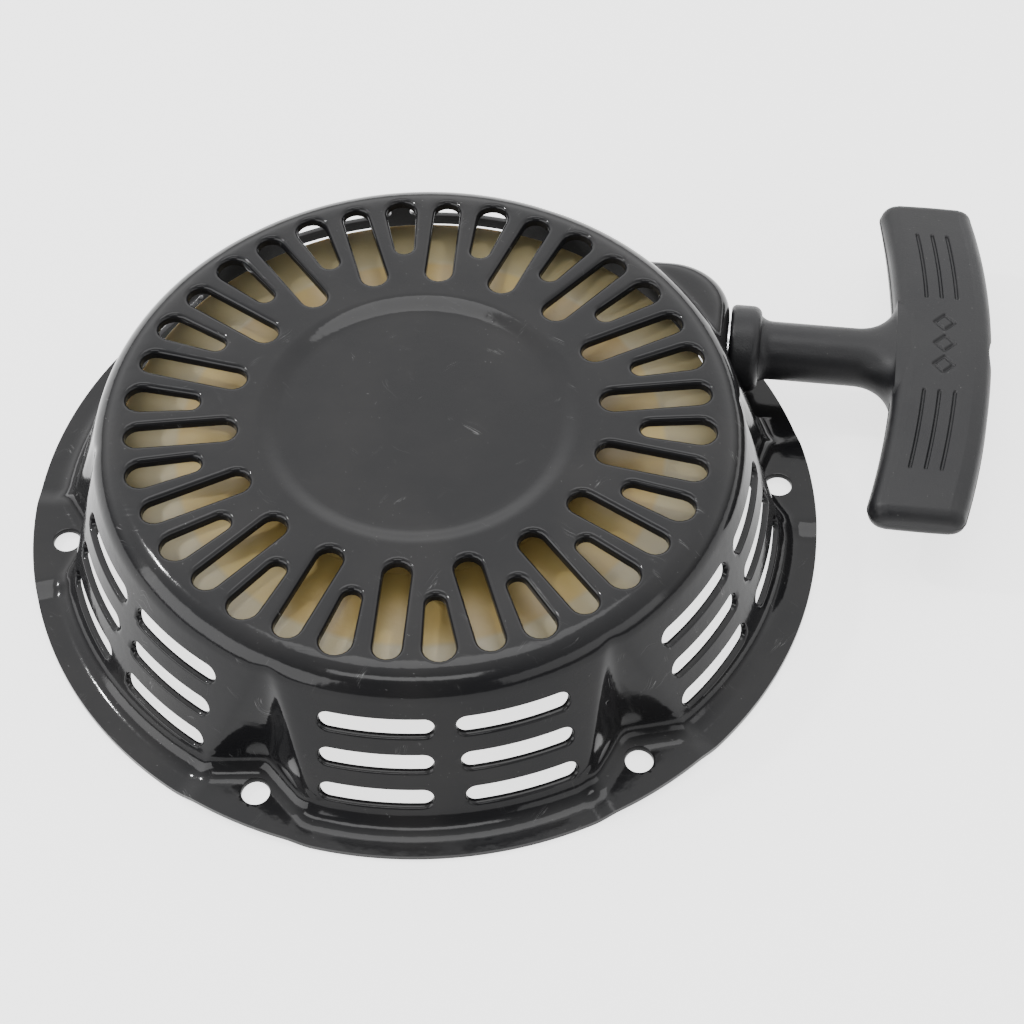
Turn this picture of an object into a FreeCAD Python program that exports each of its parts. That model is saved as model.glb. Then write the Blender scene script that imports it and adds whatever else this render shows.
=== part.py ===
import FreeCAD, Part
import math
import os

import Sketcher

# A recoil starter for a small engine: a pressed steel housing holds a rope reel, a spiral spring,
# two pawls and their guide, and a T grip on a rope pulls the reel round.
#
# Frame: millimetres, +Z up. The origin is the centre of the bolt circle on the plane the flange
# rests on, +X is the direction in which the rope is pulled, and the reel turns about Z.

SIZES = {
    # pressed housing
    "gauge": 1.5,
    "flange_radius": 109.5,
    "housing_height": 46.0,
    "wall_radius_low": 101.1,       # outside of the cone at z = 0
    "wall_radius_high": 85.6,       # outside of the cone at the top plane, before rounding
    "top_rounding": 10.0,
    "foot_rounding": 4.0,
    "recess_depth": 1.6,
    "recess_radius": 39.5,
    "recess_slope": 4.0,
    # mounting pads and the notches that clear a socket wrench
    "bolt_circle_radius": 100.0,
    "bolt_hole_radius": 3.7,
    "first_bolt_angle": 12.0,
    "bolt_count": 6,
    "pad_lift": 1.2,
    "pad_angle": 18.0,
    "notch_foot_radius": 92.0,
    "notch_top_radius": 87.4,
    "notch_top": 40.0,
    "notch_reach": 20.0,
    "notch_flare": 38.0,
    # vents
    "top_vent_count": 18,
    "long_vent_start": 52.4,
    "long_vent_end": 75.0,
    "long_vent_half_width": 3.6,
    "short_vent_start": 61.9,
    "short_vent_end": 75.2,
    "short_vent_small": 2.6,
    "short_vent_large": 4.2,
    "side_vent_length": 30.0,
    "side_vent_width": 5.7,
    "side_vent_angle": 11.2,
    "side_vent_top": 31.5,
    "side_vent_pitch": 10.8,
    "side_vent_rows": 3,
    # rope outlet
    "outlet_face": 80.0,
    "outlet_side": 74.4,
    "outlet_height": 37.0,
    "outlet_corner": 16.0,
    "outlet_rounding": 8.0,
    "seat_side": 40.0,
    "rope_y": 55.5,
    "rope_z": 20.0,
    "rope_radius": 2.75,
    "eyelet_bore": 3.6,
    "eyelet_radius": 5.4,
    "eyelet_flange": 7.6,
    # reel post and its plate
    "post_radius": 7.0,
    "post_nose_radius": 5.0,
    "post_shoulder": 8.4,
    "post_end": 6.15,
    "plate_radius": 30.0,
    "plate_gauge": 2.0,
    "tap_radius": 3.0,
    "tap_depth": 20.0,
    # reel
    "reel_bore": 7.05,
    "reel_hub_radius": 12.0,
    "reel_hub_low": 8.8,
    "reel_hub_high": 40.4,
    "reel_web_low": 24.0,
    "reel_web_high": 27.0,
    "barrel_inside": 40.0,
    "drum_radius": 44.0,
    "barrel_high": 41.6,
    "reel_radius": 83.0,
    "reel_low_radius": 76.0,
    "reel_flat_radius": 67.0,
    "reel_flange_gauge": 2.5,
    "reel_flange_high": 33.5,
    "reel_rim_drop": 1.5,
    "reel_low": 13.5,
    "pawl_boss_radius": 8.0,
    "pawl_boss_low": 13.0,
    # recoil spring
    "spring_gauge": 0.6,
    "spring_inner": 14.0,
    "spring_pitch": 3.4,
    "spring_turns": 7,
    "spring_low": 27.4,
    "spring_width": 12.0,
    # pawls, their guide and the centre bolt
    "pawl_pivot_radius": 24.0,
    "pawl_low": 8.6,
    "pawl_gauge": 4.0,
    "pawl_length": 21.0,
    "pawl_pin_radius": 3.0,
    "pawl_pin_bore": 3.05,
    "pawl_pin_top": 21.0,
    "pawl_peg_radius": 1.6,
    "pawl_peg_reach": 7.0,
    "guide_radius": 32.0,
    "guide_low": 6.2,
    "guide_gauge": 2.0,
    "guide_bore": 5.05,
    "washer_radius": 10.0,
    "washer_gauge": 1.0,
    "bolt_radius": 3.0,
    "bolt_head_width": 10.0,
    "bolt_head_high": 4.0,
    "bolt_length": 18.0,
    # grip
    "nose_start": 80.4,
    "nose_radius": 12.2,
    "stem_radius": 8.3,
    "bar_inner": 127.2,
    "bar_outer": 154.3,
    "bar_arc": 266.0,
    "bar_length": 117.2,
    "bar_thick": 18.0,
    "bar_crown": 376.0,
    "bar_edge": 3.5,
    "knot_radius": 5.6,
    "inner_knot_radius": 4.6,
    "knot_z": 19.3,
    "knot_pocket_radius": 7.0,
    "knot_pocket_depth": 15.0,
}

# Angles by which the pawl and its guide turn between rest and full reach, in degrees.
PAWL_SWING = 38.0
GUIDE_TURN = 28.0
PAWL_LEAN = -98.0      # direction of a pawl's arm at rest, seen from above, from its pivot
KNOT_ANGLE = 202.5     # where the rope's inner end passes through the drum

doc = FreeCAD.newDocument("recoil_starter")
sheet = doc.addObject("Spreadsheet::Sheet", "sizes")
for row, (word, value) in enumerate(SIZES.items(), start=1):
    sheet.set(f"A{row}", word)
    sheet.set(f"B{row}", str(value))
    sheet.setAlias(f"B{row}", word)
doc.recompute()

nodes = []


def size(text):
    """The number that an expression in the sheet's words stands for."""
    value = sheet.evalExpression(text)
    return float(getattr(value, "Value", value))


def in_sheet(text):
    """The expression text with each word of the sheet written as a reference to it."""
    words = text.replace("(", " ( ").replace(")", " ) ").split()
    return " ".join(f"sizes.{word}" if word in SIZES else word for word in words)


def bind(item, **expressions):
    """Ties properties of item to the sheet; a double underscore stands for a dot."""
    for name, text in expressions.items():
        item.setExpression(name.replace("__", "."), in_sheet(text))
    return item


def add(kind, name, **expressions):
    """A new object with its sizes bound to the sheet."""
    return bind(doc.addObject(kind, name), **expressions)


def node(item, label):
    """Marks item as one piece of the assembly, which is written to its own file."""
    item.Label = label
    nodes.append(item)
    return item


def cylinder(name, radius, height, x="0", y="0", z="0"):
    made = add("Part::Cylinder", name, Radius=radius, Height=height)
    return bind(made, Placement__Base__x=x, Placement__Base__y=y, Placement__Base__z=z)


def rod_along_x(name, radius, length, x, y, z):
    """A cylinder whose axis runs along +X from the point x, y, z."""
    made = add("Part::Cylinder", name, Radius=radius, Height=length)
    made.Placement.Rotation = FreeCAD.Rotation(FreeCAD.Vector(0, 1, 0), 90)
    return bind(made, Placement__Base__x=x, Placement__Base__y=y, Placement__Base__z=z)


def box(name, length, width, height, x, y, z):
    made = add("Part::Box", name, Length=length, Width=width, Height=height)
    return bind(made, Placement__Base__x=x, Placement__Base__y=y, Placement__Base__z=z)


def cut(name, base, tool):
    made = doc.addObject("Part::Cut", name)
    made.Base = base
    made.Tool = tool
    return made


def fuse(name, *shapes):
    made = doc.addObject("Part::MultiFuse", name)
    made.Shapes = list(shapes)
    return made


def common(name, *shapes):
    made = doc.addObject("Part::MultiCommon", name)
    made.Shapes = list(shapes)
    return made


def new_body(name):
    return doc.addObject("PartDesign::Body", name)


def new_sketch(body, name, plane, lift=None):
    """A sketch on one of the body's own origin planes, raised by lift along the plane's normal."""
    made = body.newObject("Sketcher::SketchObject", name)
    support = [f for f in body.Origin.OriginFeatures if f.Role == plane][0]
    made.AttachmentSupport = (support, "")
    made.MapMode = "FlatFace"
    if lift:
        made.setExpression("AttachmentOffset.Base.z", in_sheet(lift))
    return made


def pin_point(sketch, edge, end, across, up):
    """Ties one end of an edge to its distances from the sketch's origin."""
    for kind, text in (("DistanceX", across), ("DistanceY", up)):
        value = size(in_sheet(text))
        if abs(value) < 1e-9:
            axis = -2 if kind == "DistanceX" else -1
            sketch.addConstraint(Sketcher.Constraint("PointOnObject", edge, end, axis))
        elif value > 0:
            index = sketch.addConstraint(Sketcher.Constraint(kind, -1, 1, edge, end, value))
            sketch.setExpression(f"Constraints[{index}]", in_sheet(text))
        else:
            index = sketch.addConstraint(Sketcher.Constraint(kind, edge, end, -1, 1, -value))
            sketch.setExpression(f"Constraints[{index}]", in_sheet(f"-1 * ( {text} )"))


def polygon(sketch, corners):
    """A closed outline whose corners are pairs of expressions."""
    places = [FreeCAD.Vector(size(in_sheet(a)), size(in_sheet(b)), 0) for a, b in corners]
    for i, place in enumerate(places):
        sketch.addGeometry(Part.LineSegment(place, places[(i + 1) % len(places)]))
    for i, (across, up) in enumerate(corners):
        following = (i + 1) % len(corners)
        sketch.addConstraint(Sketcher.Constraint("Coincident", i, 2, following, 1))
        pin_point(sketch, i, 1, across, up)


def ring_sketch(sketch, radius, across="0", up="0"):
    """A circle of that radius about the point across, up."""
    centre = FreeCAD.Vector(size(in_sheet(across)), size(in_sheet(up)), 0)
    normal = FreeCAD.Vector(0, 0, 1)
    edge = sketch.addGeometry(Part.Circle(centre, normal, size(in_sheet(radius))))
    pin_point(sketch, edge, 3, across, up)
    index = sketch.addConstraint(Sketcher.Constraint("Radius", edge, size(in_sheet(radius))))
    sketch.setExpression(f"Constraints[{index}]", in_sheet(radius))


def revolved(name, corners):
    """A body turned about Z from an outline of (radius, height) pairs."""
    body = new_body(name)
    profile = new_sketch(body, name + "_profile", "XZ_Plane")
    polygon(profile, corners)
    turned = body.newObject("PartDesign::Revolution", name + "_turned")
    turned.Profile = profile
    turned.ReferenceAxis = (profile, ["V_Axis"])
    turned.Angle = 360
    doc.recompute()
    return body


def padded(body, profile, height, name):
    pad = body.newObject("PartDesign::Pad", name)
    pad.Profile = profile
    pad.setExpression("Length", in_sheet(height))
    return pad


def around_z(body, features, count, name):
    """Repeats features of the body about Z, a full turn shared by count."""
    pattern = body.newObject("PartDesign::PolarPattern", name)
    pattern.Originals = features
    z_axis = [f for f in body.Origin.OriginFeatures if f.Role == "Z_Axis"][0]
    pattern.Axis = (z_axis, [""])
    pattern.Angle = 360
    pattern.setExpression("Occurrences", in_sheet(count))
    body.Tip = pattern
    doc.recompute()
    return pattern


def circle_edges(shape, radius, height):
    """Names of the shape's full circles about Z with that radius and height."""
    found = []
    for number, edge in enumerate(shape.Edges, start=1):
        curve = edge.Curve
        if curve.TypeId != "Part::GeomCircle":
            continue
        about_z = math.hypot(curve.Center.x, curve.Center.y) < 0.01
        if about_z and abs(curve.Radius - radius) < 0.05 and abs(curve.Center.z - height) < 0.05:
            found.append(f"Edge{number}")
    return found


def round_circle(body, name, radius, height, rounding):
    """Rounds the body's circular edge at that radius and height."""
    made = body.newObject("PartDesign::Fillet", name)
    tip = body.Group[-2] if body.Group[-1] is made else body.Tip
    edges = circle_edges(tip.Shape, size(in_sheet(radius)), size(in_sheet(height)))
    made.Base = (tip, edges)
    made.setExpression("Radius", in_sheet(rounding))
    body.Tip = made
    doc.recompute()


def turn_about_z(item, angle):
    """Turns the item about Z by an angle in degrees, from the sheet or a number."""
    item.Placement.Rotation = FreeCAD.Rotation(FreeCAD.Vector(0, 0, 1), angle)
    return item


# --- housing ------------------------------------------------------------------------------------

def cone_radius(height, inset):
    """Expression for the cone's radius at a height, moved inwards by inset along the radius."""
    slope = "( wall_radius_low - wall_radius_high ) / housing_height"
    return f"wall_radius_low - {slope} * ( {height} ) - ( {inset} )"


def pressed_blank(name, gauge, bottom, floor, top, reach):
    """The housing's solid form: cone, flange and recessed top, with its edges rounded.

    gauge is how far the form lies inside the outer skin, floor is the height of the flange face
    that the cone stands on, bottom is the form's lowest level and reach its outer radius."""
    across = f"( {gauge} ) * 1.0553"
    body = revolved(name, [
        ("0", bottom),
        (reach, bottom),
        (reach, floor),
        (cone_radius(floor, across), floor),
        (cone_radius(top, across), top),
        (f"recess_radius + recess_slope - 0.4 * ( {gauge} )", top),
        (f"recess_radius - 0.4 * ( {gauge} )", f"{top} - recess_depth"),
        ("0", f"{top} - recess_depth"),
    ])
    round_circle(body, name + "_shoulder", cone_radius(top, across), top,
                 f"top_rounding - ( {gauge} )")
    round_circle(body, name + "_foot", cone_radius(floor, across), floor,
                 f"foot_rounding + ( {gauge} )")
    return body


def cut_notches(body, name, inset, bottom):
    """Six V notches, one above each bolt, narrowing upwards to nothing at the top of the cone."""
    sections = []
    for level, height, corner in (("low", bottom, "notch_foot_radius"),
                                  ("high", "notch_top + 2", "notch_top_radius - 0.3")):
        section = new_sketch(body, f"{name}_{level}", "XY_Plane", height)
        tip = f"{corner} - ( {inset} ) * 1.12"
        polygon(section, [
            (tip, "0"),
            (f"{tip} + notch_reach", "notch_flare"),
            (f"{tip} + notch_reach", "0 - notch_flare"),
        ])
        sections.append(section)
    loft = body.newObject("PartDesign::SubtractiveLoft", name)
    loft.Profile = sections[0]
    loft.Sections = sections[1:]
    loft.Ruled = True
    doc.recompute()
    around_z(body, [loft], "bolt_count", name + "_ring")


def sector(name, inner, outer, low, high, angle):
    """A piece of a ring centred on +X."""
    whole = add("Part::Cylinder", name + "_outer", Radius=outer, Height=f"{high} - ( {low} )",
                Angle=angle, Placement__Base__z=low)
    whole.Placement.Rotation = FreeCAD.Rotation(FreeCAD.Vector(0, 0, 1), -size(in_sheet(angle)) / 2)
    core = cylinder(name + "_inner", inner, f"{high} - ( {low} ) + 2", z=f"{low} - 1")
    return cut(name, whole, core)


def ring_of(name, piece, count, first_angle):
    """Copies of piece about Z, in one object, the first turned to first_angle."""
    links = []
    for i in range(count):
        copy = doc.addObject("Part::Compound", f"{name}_{i + 1}")
        copy.Links = [piece]
        turn_about_z(copy, first_angle + 360.0 * i / count)
        links.append(copy)
    whole = doc.addObject("Part::Compound", name)
    whole.Links = links
    return whole


def rounded_box(name, length, width, height, x, y, z, corner, rounding):
    """A box with its far upright corner and then its outer top edges rounded."""
    block = box(name + "_block", length, width, height, x, y, z)
    doc.recompute()
    far = block.Shape.BoundBox
    upright = [
        i for i, e in enumerate(block.Shape.Edges, start=1)
        if e.BoundBox.XMin > far.XMax - 0.01 and e.BoundBox.YMin > far.YMax - 0.01
    ]
    first = doc.addObject("Part::Fillet", name + "_corner")
    first.Base = block
    first.Edges = [(i, corner, corner) for i in upright]
    doc.recompute()
    top = [
        i for i, e in enumerate(first.Shape.Edges, start=1)
        if e.BoundBox.ZMin > far.ZMax - 0.01
        and (e.BoundBox.XMin > far.XMax - corner - 0.01 or e.BoundBox.YMin > far.YMax - 0.01)
    ]
    second = doc.addObject("Part::Fillet", name)
    second.Base = first
    second.Edges = [(i, rounding, rounding) for i in top]
    return second


def vent_tool(name, start, end, small, large, count, angle):
    """Cutters for one ring of top vents: a slot with round ends of the radii small and large."""
    body = new_body(name)
    lean = math.asin((SIZES[large] - SIZES[small]) / (SIZES[end] - SIZES[start]))
    back, up = round(math.sin(lean), 5), round(math.cos(lean), 5)
    corners = [
        (f"{start} - {back} * {small}", f"{up} * {small}"),
        (f"{end} - {back} * {large}", f"{up} * {large}"),
    ]
    corners += [(x, f"-1 * ( {y} )") for x, y in reversed(corners)]
    outline = new_sketch(body, name + "_sides", "XY_Plane", "housing_height - 6")
    polygon(outline, corners)
    slot = [padded(body, outline, "10", name + "_middle")]
    for place, radius in ((start, small), (end, large)):
        outline = new_sketch(body, f"{name}_{place}_round", "XY_Plane", "housing_height - 6")
        ring_sketch(outline, radius, place)
        slot.append(padded(body, outline, "10", f"{name}_{place}_end"))
    doc.recompute()
    around_z(body, slot, count, name + "_ring")
    return turn_about_z(body, angle)


def side_vent_tools():
    """Cutters for the louvre slots in the cone: every panel but the one with the rope outlet."""
    half = size("side_vent_length") / 2 - size("side_vent_width") / 2
    radius = size("side_vent_width") / 2
    tools = []
    for panel in range(1, bolt_count):
        middle = first_bolt + 30 + 360.0 / bolt_count * panel
        for side in (-1, 1):
            angle = middle + side * size("side_vent_angle")
            for row in range(int(size("side_vent_rows"))):
                height = size("side_vent_top") - row * size("side_vent_pitch")
                middle_part = Part.makeBox(30, 2 * half, 2 * radius,
                                           FreeCAD.Vector(80, -half, height - radius))
                ends = [
                    Part.makeCylinder(radius, 30, FreeCAD.Vector(80, y, height),
                                      FreeCAD.Vector(1, 0, 0))
                    for y in (-half, half)
                ]
                slot = middle_part.fuse(ends).removeSplitter()
                slot.rotate(FreeCAD.Vector(0, 0, 0), FreeCAD.Vector(0, 0, 1), angle)
                tools.append(slot)
    made = doc.addObject("Part::Feature", "side_vents")
    made.Shape = Part.makeCompound(tools)
    return made


def make_housing():
    """One pressing: an outer form less an inner form, then every hole."""
    outer_blank = pressed_blank("outer_blank", "0", "0", "gauge", "housing_height",
                                "flange_radius")
    inner_blank = pressed_blank("inner_blank", "gauge", "0 - 1", "0", "housing_height - gauge",
                                "flange_radius + 5")
    cut_notches(outer_blank, "outer_notch", "0", "gauge")
    cut_notches(inner_blank, "inner_notch", "gauge", "0 - 2")
    for blank in (outer_blank, inner_blank):
        turn_about_z(blank, first_bolt)

    seat = box("seat_space", "40", "outlet_side - seat_side", "outlet_height - gauge",
               "outlet_face", "seat_side", "gauge")
    seat_inside = box("seat_space_inside", "40", "outlet_side - seat_side + gauge",
                      "outlet_height + 2", "outlet_face - gauge", "seat_side - gauge", "0 - 1")
    outlet = rounded_box("outlet", "outlet_face - 30", "outlet_side - 20", "outlet_height",
                         "30", "20", "0", size("outlet_corner"), size("outlet_rounding"))
    outlet_inside = rounded_box("outlet_inside", "outlet_face - 30 - gauge",
                                "outlet_side - 20 - gauge", "outlet_height + 1 - gauge",
                                "30", "20", "0 - 1", size("outlet_corner - gauge"),
                                size("outlet_rounding - gauge"))
    pad = sector("pad", "91", "flange_radius", "gauge", "gauge + pad_lift", "pad_angle")
    pads = ring_of("pads", pad, bolt_count, first_bolt)
    under_pad = sector("under_pad", "91", "flange_radius + 2", "0 - 1", "pad_lift",
                       "pad_angle - 1.6")
    under_pads = ring_of("under_pads", under_pad, bolt_count, first_bolt)

    outer = fuse("outer_form", cut("outer_seated", outer_blank, seat), outlet, pads)
    inner = fuse("inner_form", cut("inner_seated", inner_blank, seat_inside), outlet_inside,
                 under_pads)
    pressing = cut("pressing", outer, inner)

    bolt_hole = cylinder("bolt_hole", "bolt_hole_radius", "10", x="bolt_circle_radius", z="0 - 2")
    cutters = doc.addObject("Part::Compound", "hole_cutters")
    cutters.Links = [
        vent_tool("long_vents", "long_vent_start", "long_vent_end", "long_vent_half_width",
                  "long_vent_half_width", "top_vent_count", first_bolt),
        vent_tool("short_vents", "short_vent_start", "short_vent_end", "short_vent_small",
                  "short_vent_large", "top_vent_count", first_bolt + 10),
        side_vent_tools(),
        ring_of("bolt_holes", bolt_hole, bolt_count, first_bolt),
        rod_along_x("outlet_hole", "eyelet_radius", "20", "outlet_face - 10", "rope_y", "rope_z"),
    ]
    node(cut("housing_cut", pressing, cutters), "housing")


def make_post():
    """The reel's post on its plate, which is spot welded under the recess."""
    under = "housing_height - recess_depth - gauge"
    plate = cylinder("plate_disc", "plate_radius", "plate_gauge", z=f"{under} - plate_gauge")
    hook = box("hook_tab", "spring_inner - reel_hub_radius - 0.6", "4", "spring_width + 0.6",
               "reel_hub_radius + 0.2", "0 - 2", f"{under} - plate_gauge - spring_width - 0.6")
    centre = cylinder("plate_hole", "post_radius - 1.5", "10", z="housing_height - 10")
    node(cut("plate_cut", fuse("plate_and_hook", plate, hook), centre), "post_plate")

    post_top = f"{under} - plate_gauge"
    shank = cylinder("post_shank", "post_radius", f"{post_top} - post_shoulder",
                     z="post_shoulder")
    nose = cylinder("post_nose", "post_nose_radius", "post_shoulder - post_end + 1",
                    z="post_end")
    spigot = cylinder("post_spigot", "post_radius - 1.5", "plate_gauge + 1",
                      z=f"{post_top} - 1")
    tap = cylinder("post_tap", "tap_radius", "tap_depth", z="post_end - 1")
    node(cut("post_cut", fuse("post_solid", shank, nose, spigot), tap), "reel_post")


def make_eyelet():
    """The steel eyelet that the rope runs through, pressed into the outlet's face."""
    body = new_body("eyelet_body")
    face = "outlet_face"
    profile = new_sketch(body, "eyelet_profile", "XY_Plane")
    polygon(profile, [
        (f"{face} - gauge - 2", "rope_y + eyelet_bore"),
        (f"{face} + 1.2", "rope_y + eyelet_bore"),
        (f"{face} + 1.2", "rope_y + eyelet_flange"),
        (face, "rope_y + eyelet_flange"),
        (face, "rope_y + eyelet_radius"),
        (f"{face} - gauge - 2", "rope_y + eyelet_radius"),
    ])
    axis = profile.addGeometry(Part.LineSegment(FreeCAD.Vector(60, size("rope_y"), 0),
                                                FreeCAD.Vector(90, size("rope_y"), 0)), True)
    pin_point(profile, axis, 1, "60", "rope_y")
    pin_point(profile, axis, 2, "90", "rope_y")
    turned = body.newObject("PartDesign::Revolution", "eyelet_turned")
    turned.Profile = profile
    turned.ReferenceAxis = (profile, ["Axis0"])
    turned.Angle = 360
    bind(body, Placement__Base__z="rope_z")
    node(body, "rope_eyelet")


def make_reel():
    """The moulded reel: bore, spring barrel open at the top, rope groove between two flanges."""
    body = revolved("reel_body", [
        ("reel_bore", "reel_hub_low"),
        ("reel_hub_radius", "reel_hub_low"),
        ("reel_hub_radius", "reel_web_low"),
        ("barrel_inside", "reel_web_low"),
        ("barrel_inside", "reel_low"),
        ("reel_low_radius", "reel_low"),
        ("reel_low_radius", "reel_low + reel_flange_gauge"),
        ("drum_radius", "reel_low + reel_flange_gauge"),
        ("drum_radius", "reel_flange_high - reel_flange_gauge"),
        ("reel_flat_radius", "reel_flange_high - reel_flange_gauge"),
        ("reel_radius", "reel_flange_high - reel_flange_gauge - reel_rim_drop"),
        ("reel_radius", "reel_flange_high - reel_rim_drop"),
        ("reel_flat_radius", "reel_flange_high"),
        ("drum_radius", "reel_flange_high"),
        ("drum_radius", "barrel_high"),
        ("barrel_inside", "barrel_high"),
        ("barrel_inside", "reel_web_high"),
        ("reel_hub_radius", "reel_web_high"),
        ("reel_hub_radius", "reel_hub_high"),
        ("reel_bore", "reel_hub_high"),
    ])

    bosses, holes = [], []
    for i, side in ((1, 1), (2, -1)):
        x = f"pawl_pivot_radius * {side}"
        bosses.append(cylinder(f"pawl_boss_{i}", "pawl_boss_radius",
                               "reel_web_low - pawl_boss_low + 1", x=x, z="pawl_boss_low"))
        holes.append(cylinder(f"pawl_bore_{i}", "pawl_pin_bore", "12", x=x,
                              z="pawl_boss_low - 2"))
        holes.append(cylinder(f"pawl_spring_well_{i}", "5.6", "3.2", x=x,
                              z="pawl_boss_low - 0.2"))
    ribs = []
    for angle in (45, 90, 135, 225, 270, 315):
        rib = box(f"reel_rib_{angle}", "barrel_inside - reel_hub_radius + 1", "2.4",
                  "reel_web_low - reel_low - 2", "reel_hub_radius - 0.5", "0 - 1.2",
                  "reel_low + 2.5")
        holder = doc.addObject("Part::Compound", f"reel_rib_at_{angle}")
        holder.Links = [rib]
        ribs.append(turn_about_z(holder, angle))
    knot_way = rod_along_x("knot_way", "rope_radius + 0.4", "12", "barrel_inside - 4", "0",
                           "knot_z")
    knot_holder = doc.addObject("Part::Compound", "knot_way_at_angle")
    knot_holder.Links = [knot_way]
    turn_about_z(knot_holder, KNOT_ANGLE)
    solid = fuse("reel_solid", body, *bosses, *ribs)
    cutters = doc.addObject("Part::Compound", "reel_cutters")
    cutters.Links = holes + [knot_holder]
    node(cut("reel_cut", solid, cutters), "reel")


def spiral(thickness, inner, pitch, turns):
    """A flat spiral strip made of half circles, as a face."""
    def run(radius):
        edges, x = [], 0.0
        reach = radius
        for half in range(2 * turns):
            grown = reach + pitch / 2
            middle = (reach + grown) / 2
            sign = 1 if half % 2 == 0 else -1
            start = FreeCAD.Vector(sign * reach, 0, 0)
            end = FreeCAD.Vector(-sign * grown, 0, 0)
            centre_x = (start.x + end.x) / 2
            edges.append(Part.Arc(start, FreeCAD.Vector(centre_x, sign * middle, 0), end).toShape())
            reach = grown
        return edges
    inside = run(inner)
    outside = run(inner + thickness)
    caps = [
        Part.LineSegment(inside[0].Vertexes[0].Point, outside[0].Vertexes[0].Point).toShape(),
        Part.LineSegment(inside[-1].Vertexes[-1].Point, outside[-1].Vertexes[-1].Point).toShape(),
    ]
    return Part.Face(Part.Wire(Part.__sortEdges__(inside + outside + caps)))


def make_spring():
    """The recoil spring: a flat steel strip wound in the reel's barrel."""
    face = spiral(size("spring_gauge"), size("spring_inner"), size("spring_pitch"),
                  int(size("spring_turns")))
    made = doc.addObject("Part::Feature", "spring_strip")
    made.Shape = face.extrude(FreeCAD.Vector(0, 0, size("spring_width")))
    made.Placement.Base = FreeCAD.Vector(0, 0, size("spring_low"))
    node(made, "recoil_spring")


def make_rope():
    """The wound rope, its straight run to the grip, and the knot at each end."""
    groove_low = "( reel_low + reel_flange_gauge )"
    groove_high = "( reel_flange_high - reel_flange_gauge - reel_rim_drop )"
    height = f"{groove_high} - {groove_low} - 0.8"
    wound = cylinder("wound_outside", "rope_y - rope_radius - 0.25", height,
                     z=f"{groove_low} + 0.4")
    core = cylinder("wound_inside", "drum_radius + 0.1", "40", z="0")
    node(cut("wound_rope", wound, core), "rope_winding")
    knot_x = "bar_outer - knot_pocket_depth + 2"
    run = rod_along_x("rope_straight", "rope_radius", knot_x, "0", "rope_y", "rope_z")
    node(run, "rope_run")

    knot_ball = add("Part::Sphere", "inner_knot_ball", Radius="inner_knot_radius")
    bind(knot_ball, Placement__Base__x="barrel_inside - inner_knot_radius + 1",
         Placement__Base__z="knot_z")
    knot_tail = rod_along_x("inner_knot_tail", "rope_radius", "inner_knot_radius + 3",
                            "barrel_inside - inner_knot_radius + 1", "0", "knot_z")
    inner_knot = fuse("inner_knot", knot_ball, knot_tail)
    node(turn_about_z(inner_knot, KNOT_ANGLE), "rope_knot_reel")
    outer_knot = add("Part::Sphere", "outer_knot", Radius="knot_radius")
    bind(outer_knot, Placement__Base__x=f"{knot_x} + knot_radius",
         Placement__Base__y="rope_y", Placement__Base__z="rope_z")
    node(outer_knot, "rope_knot_grip")
    washer = rod_along_x("grip_washer_disc", "knot_pocket_radius - 0.4", "2",
                         "bar_outer - knot_pocket_depth", "rope_y", "rope_z")
    hole = rod_along_x("grip_washer_hole", "rope_radius + 0.15", "4",
                       "bar_outer - knot_pocket_depth - 1", "rope_y", "rope_z")
    node(cut("grip_washer_cut", washer, hole), "grip_washer")


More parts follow.
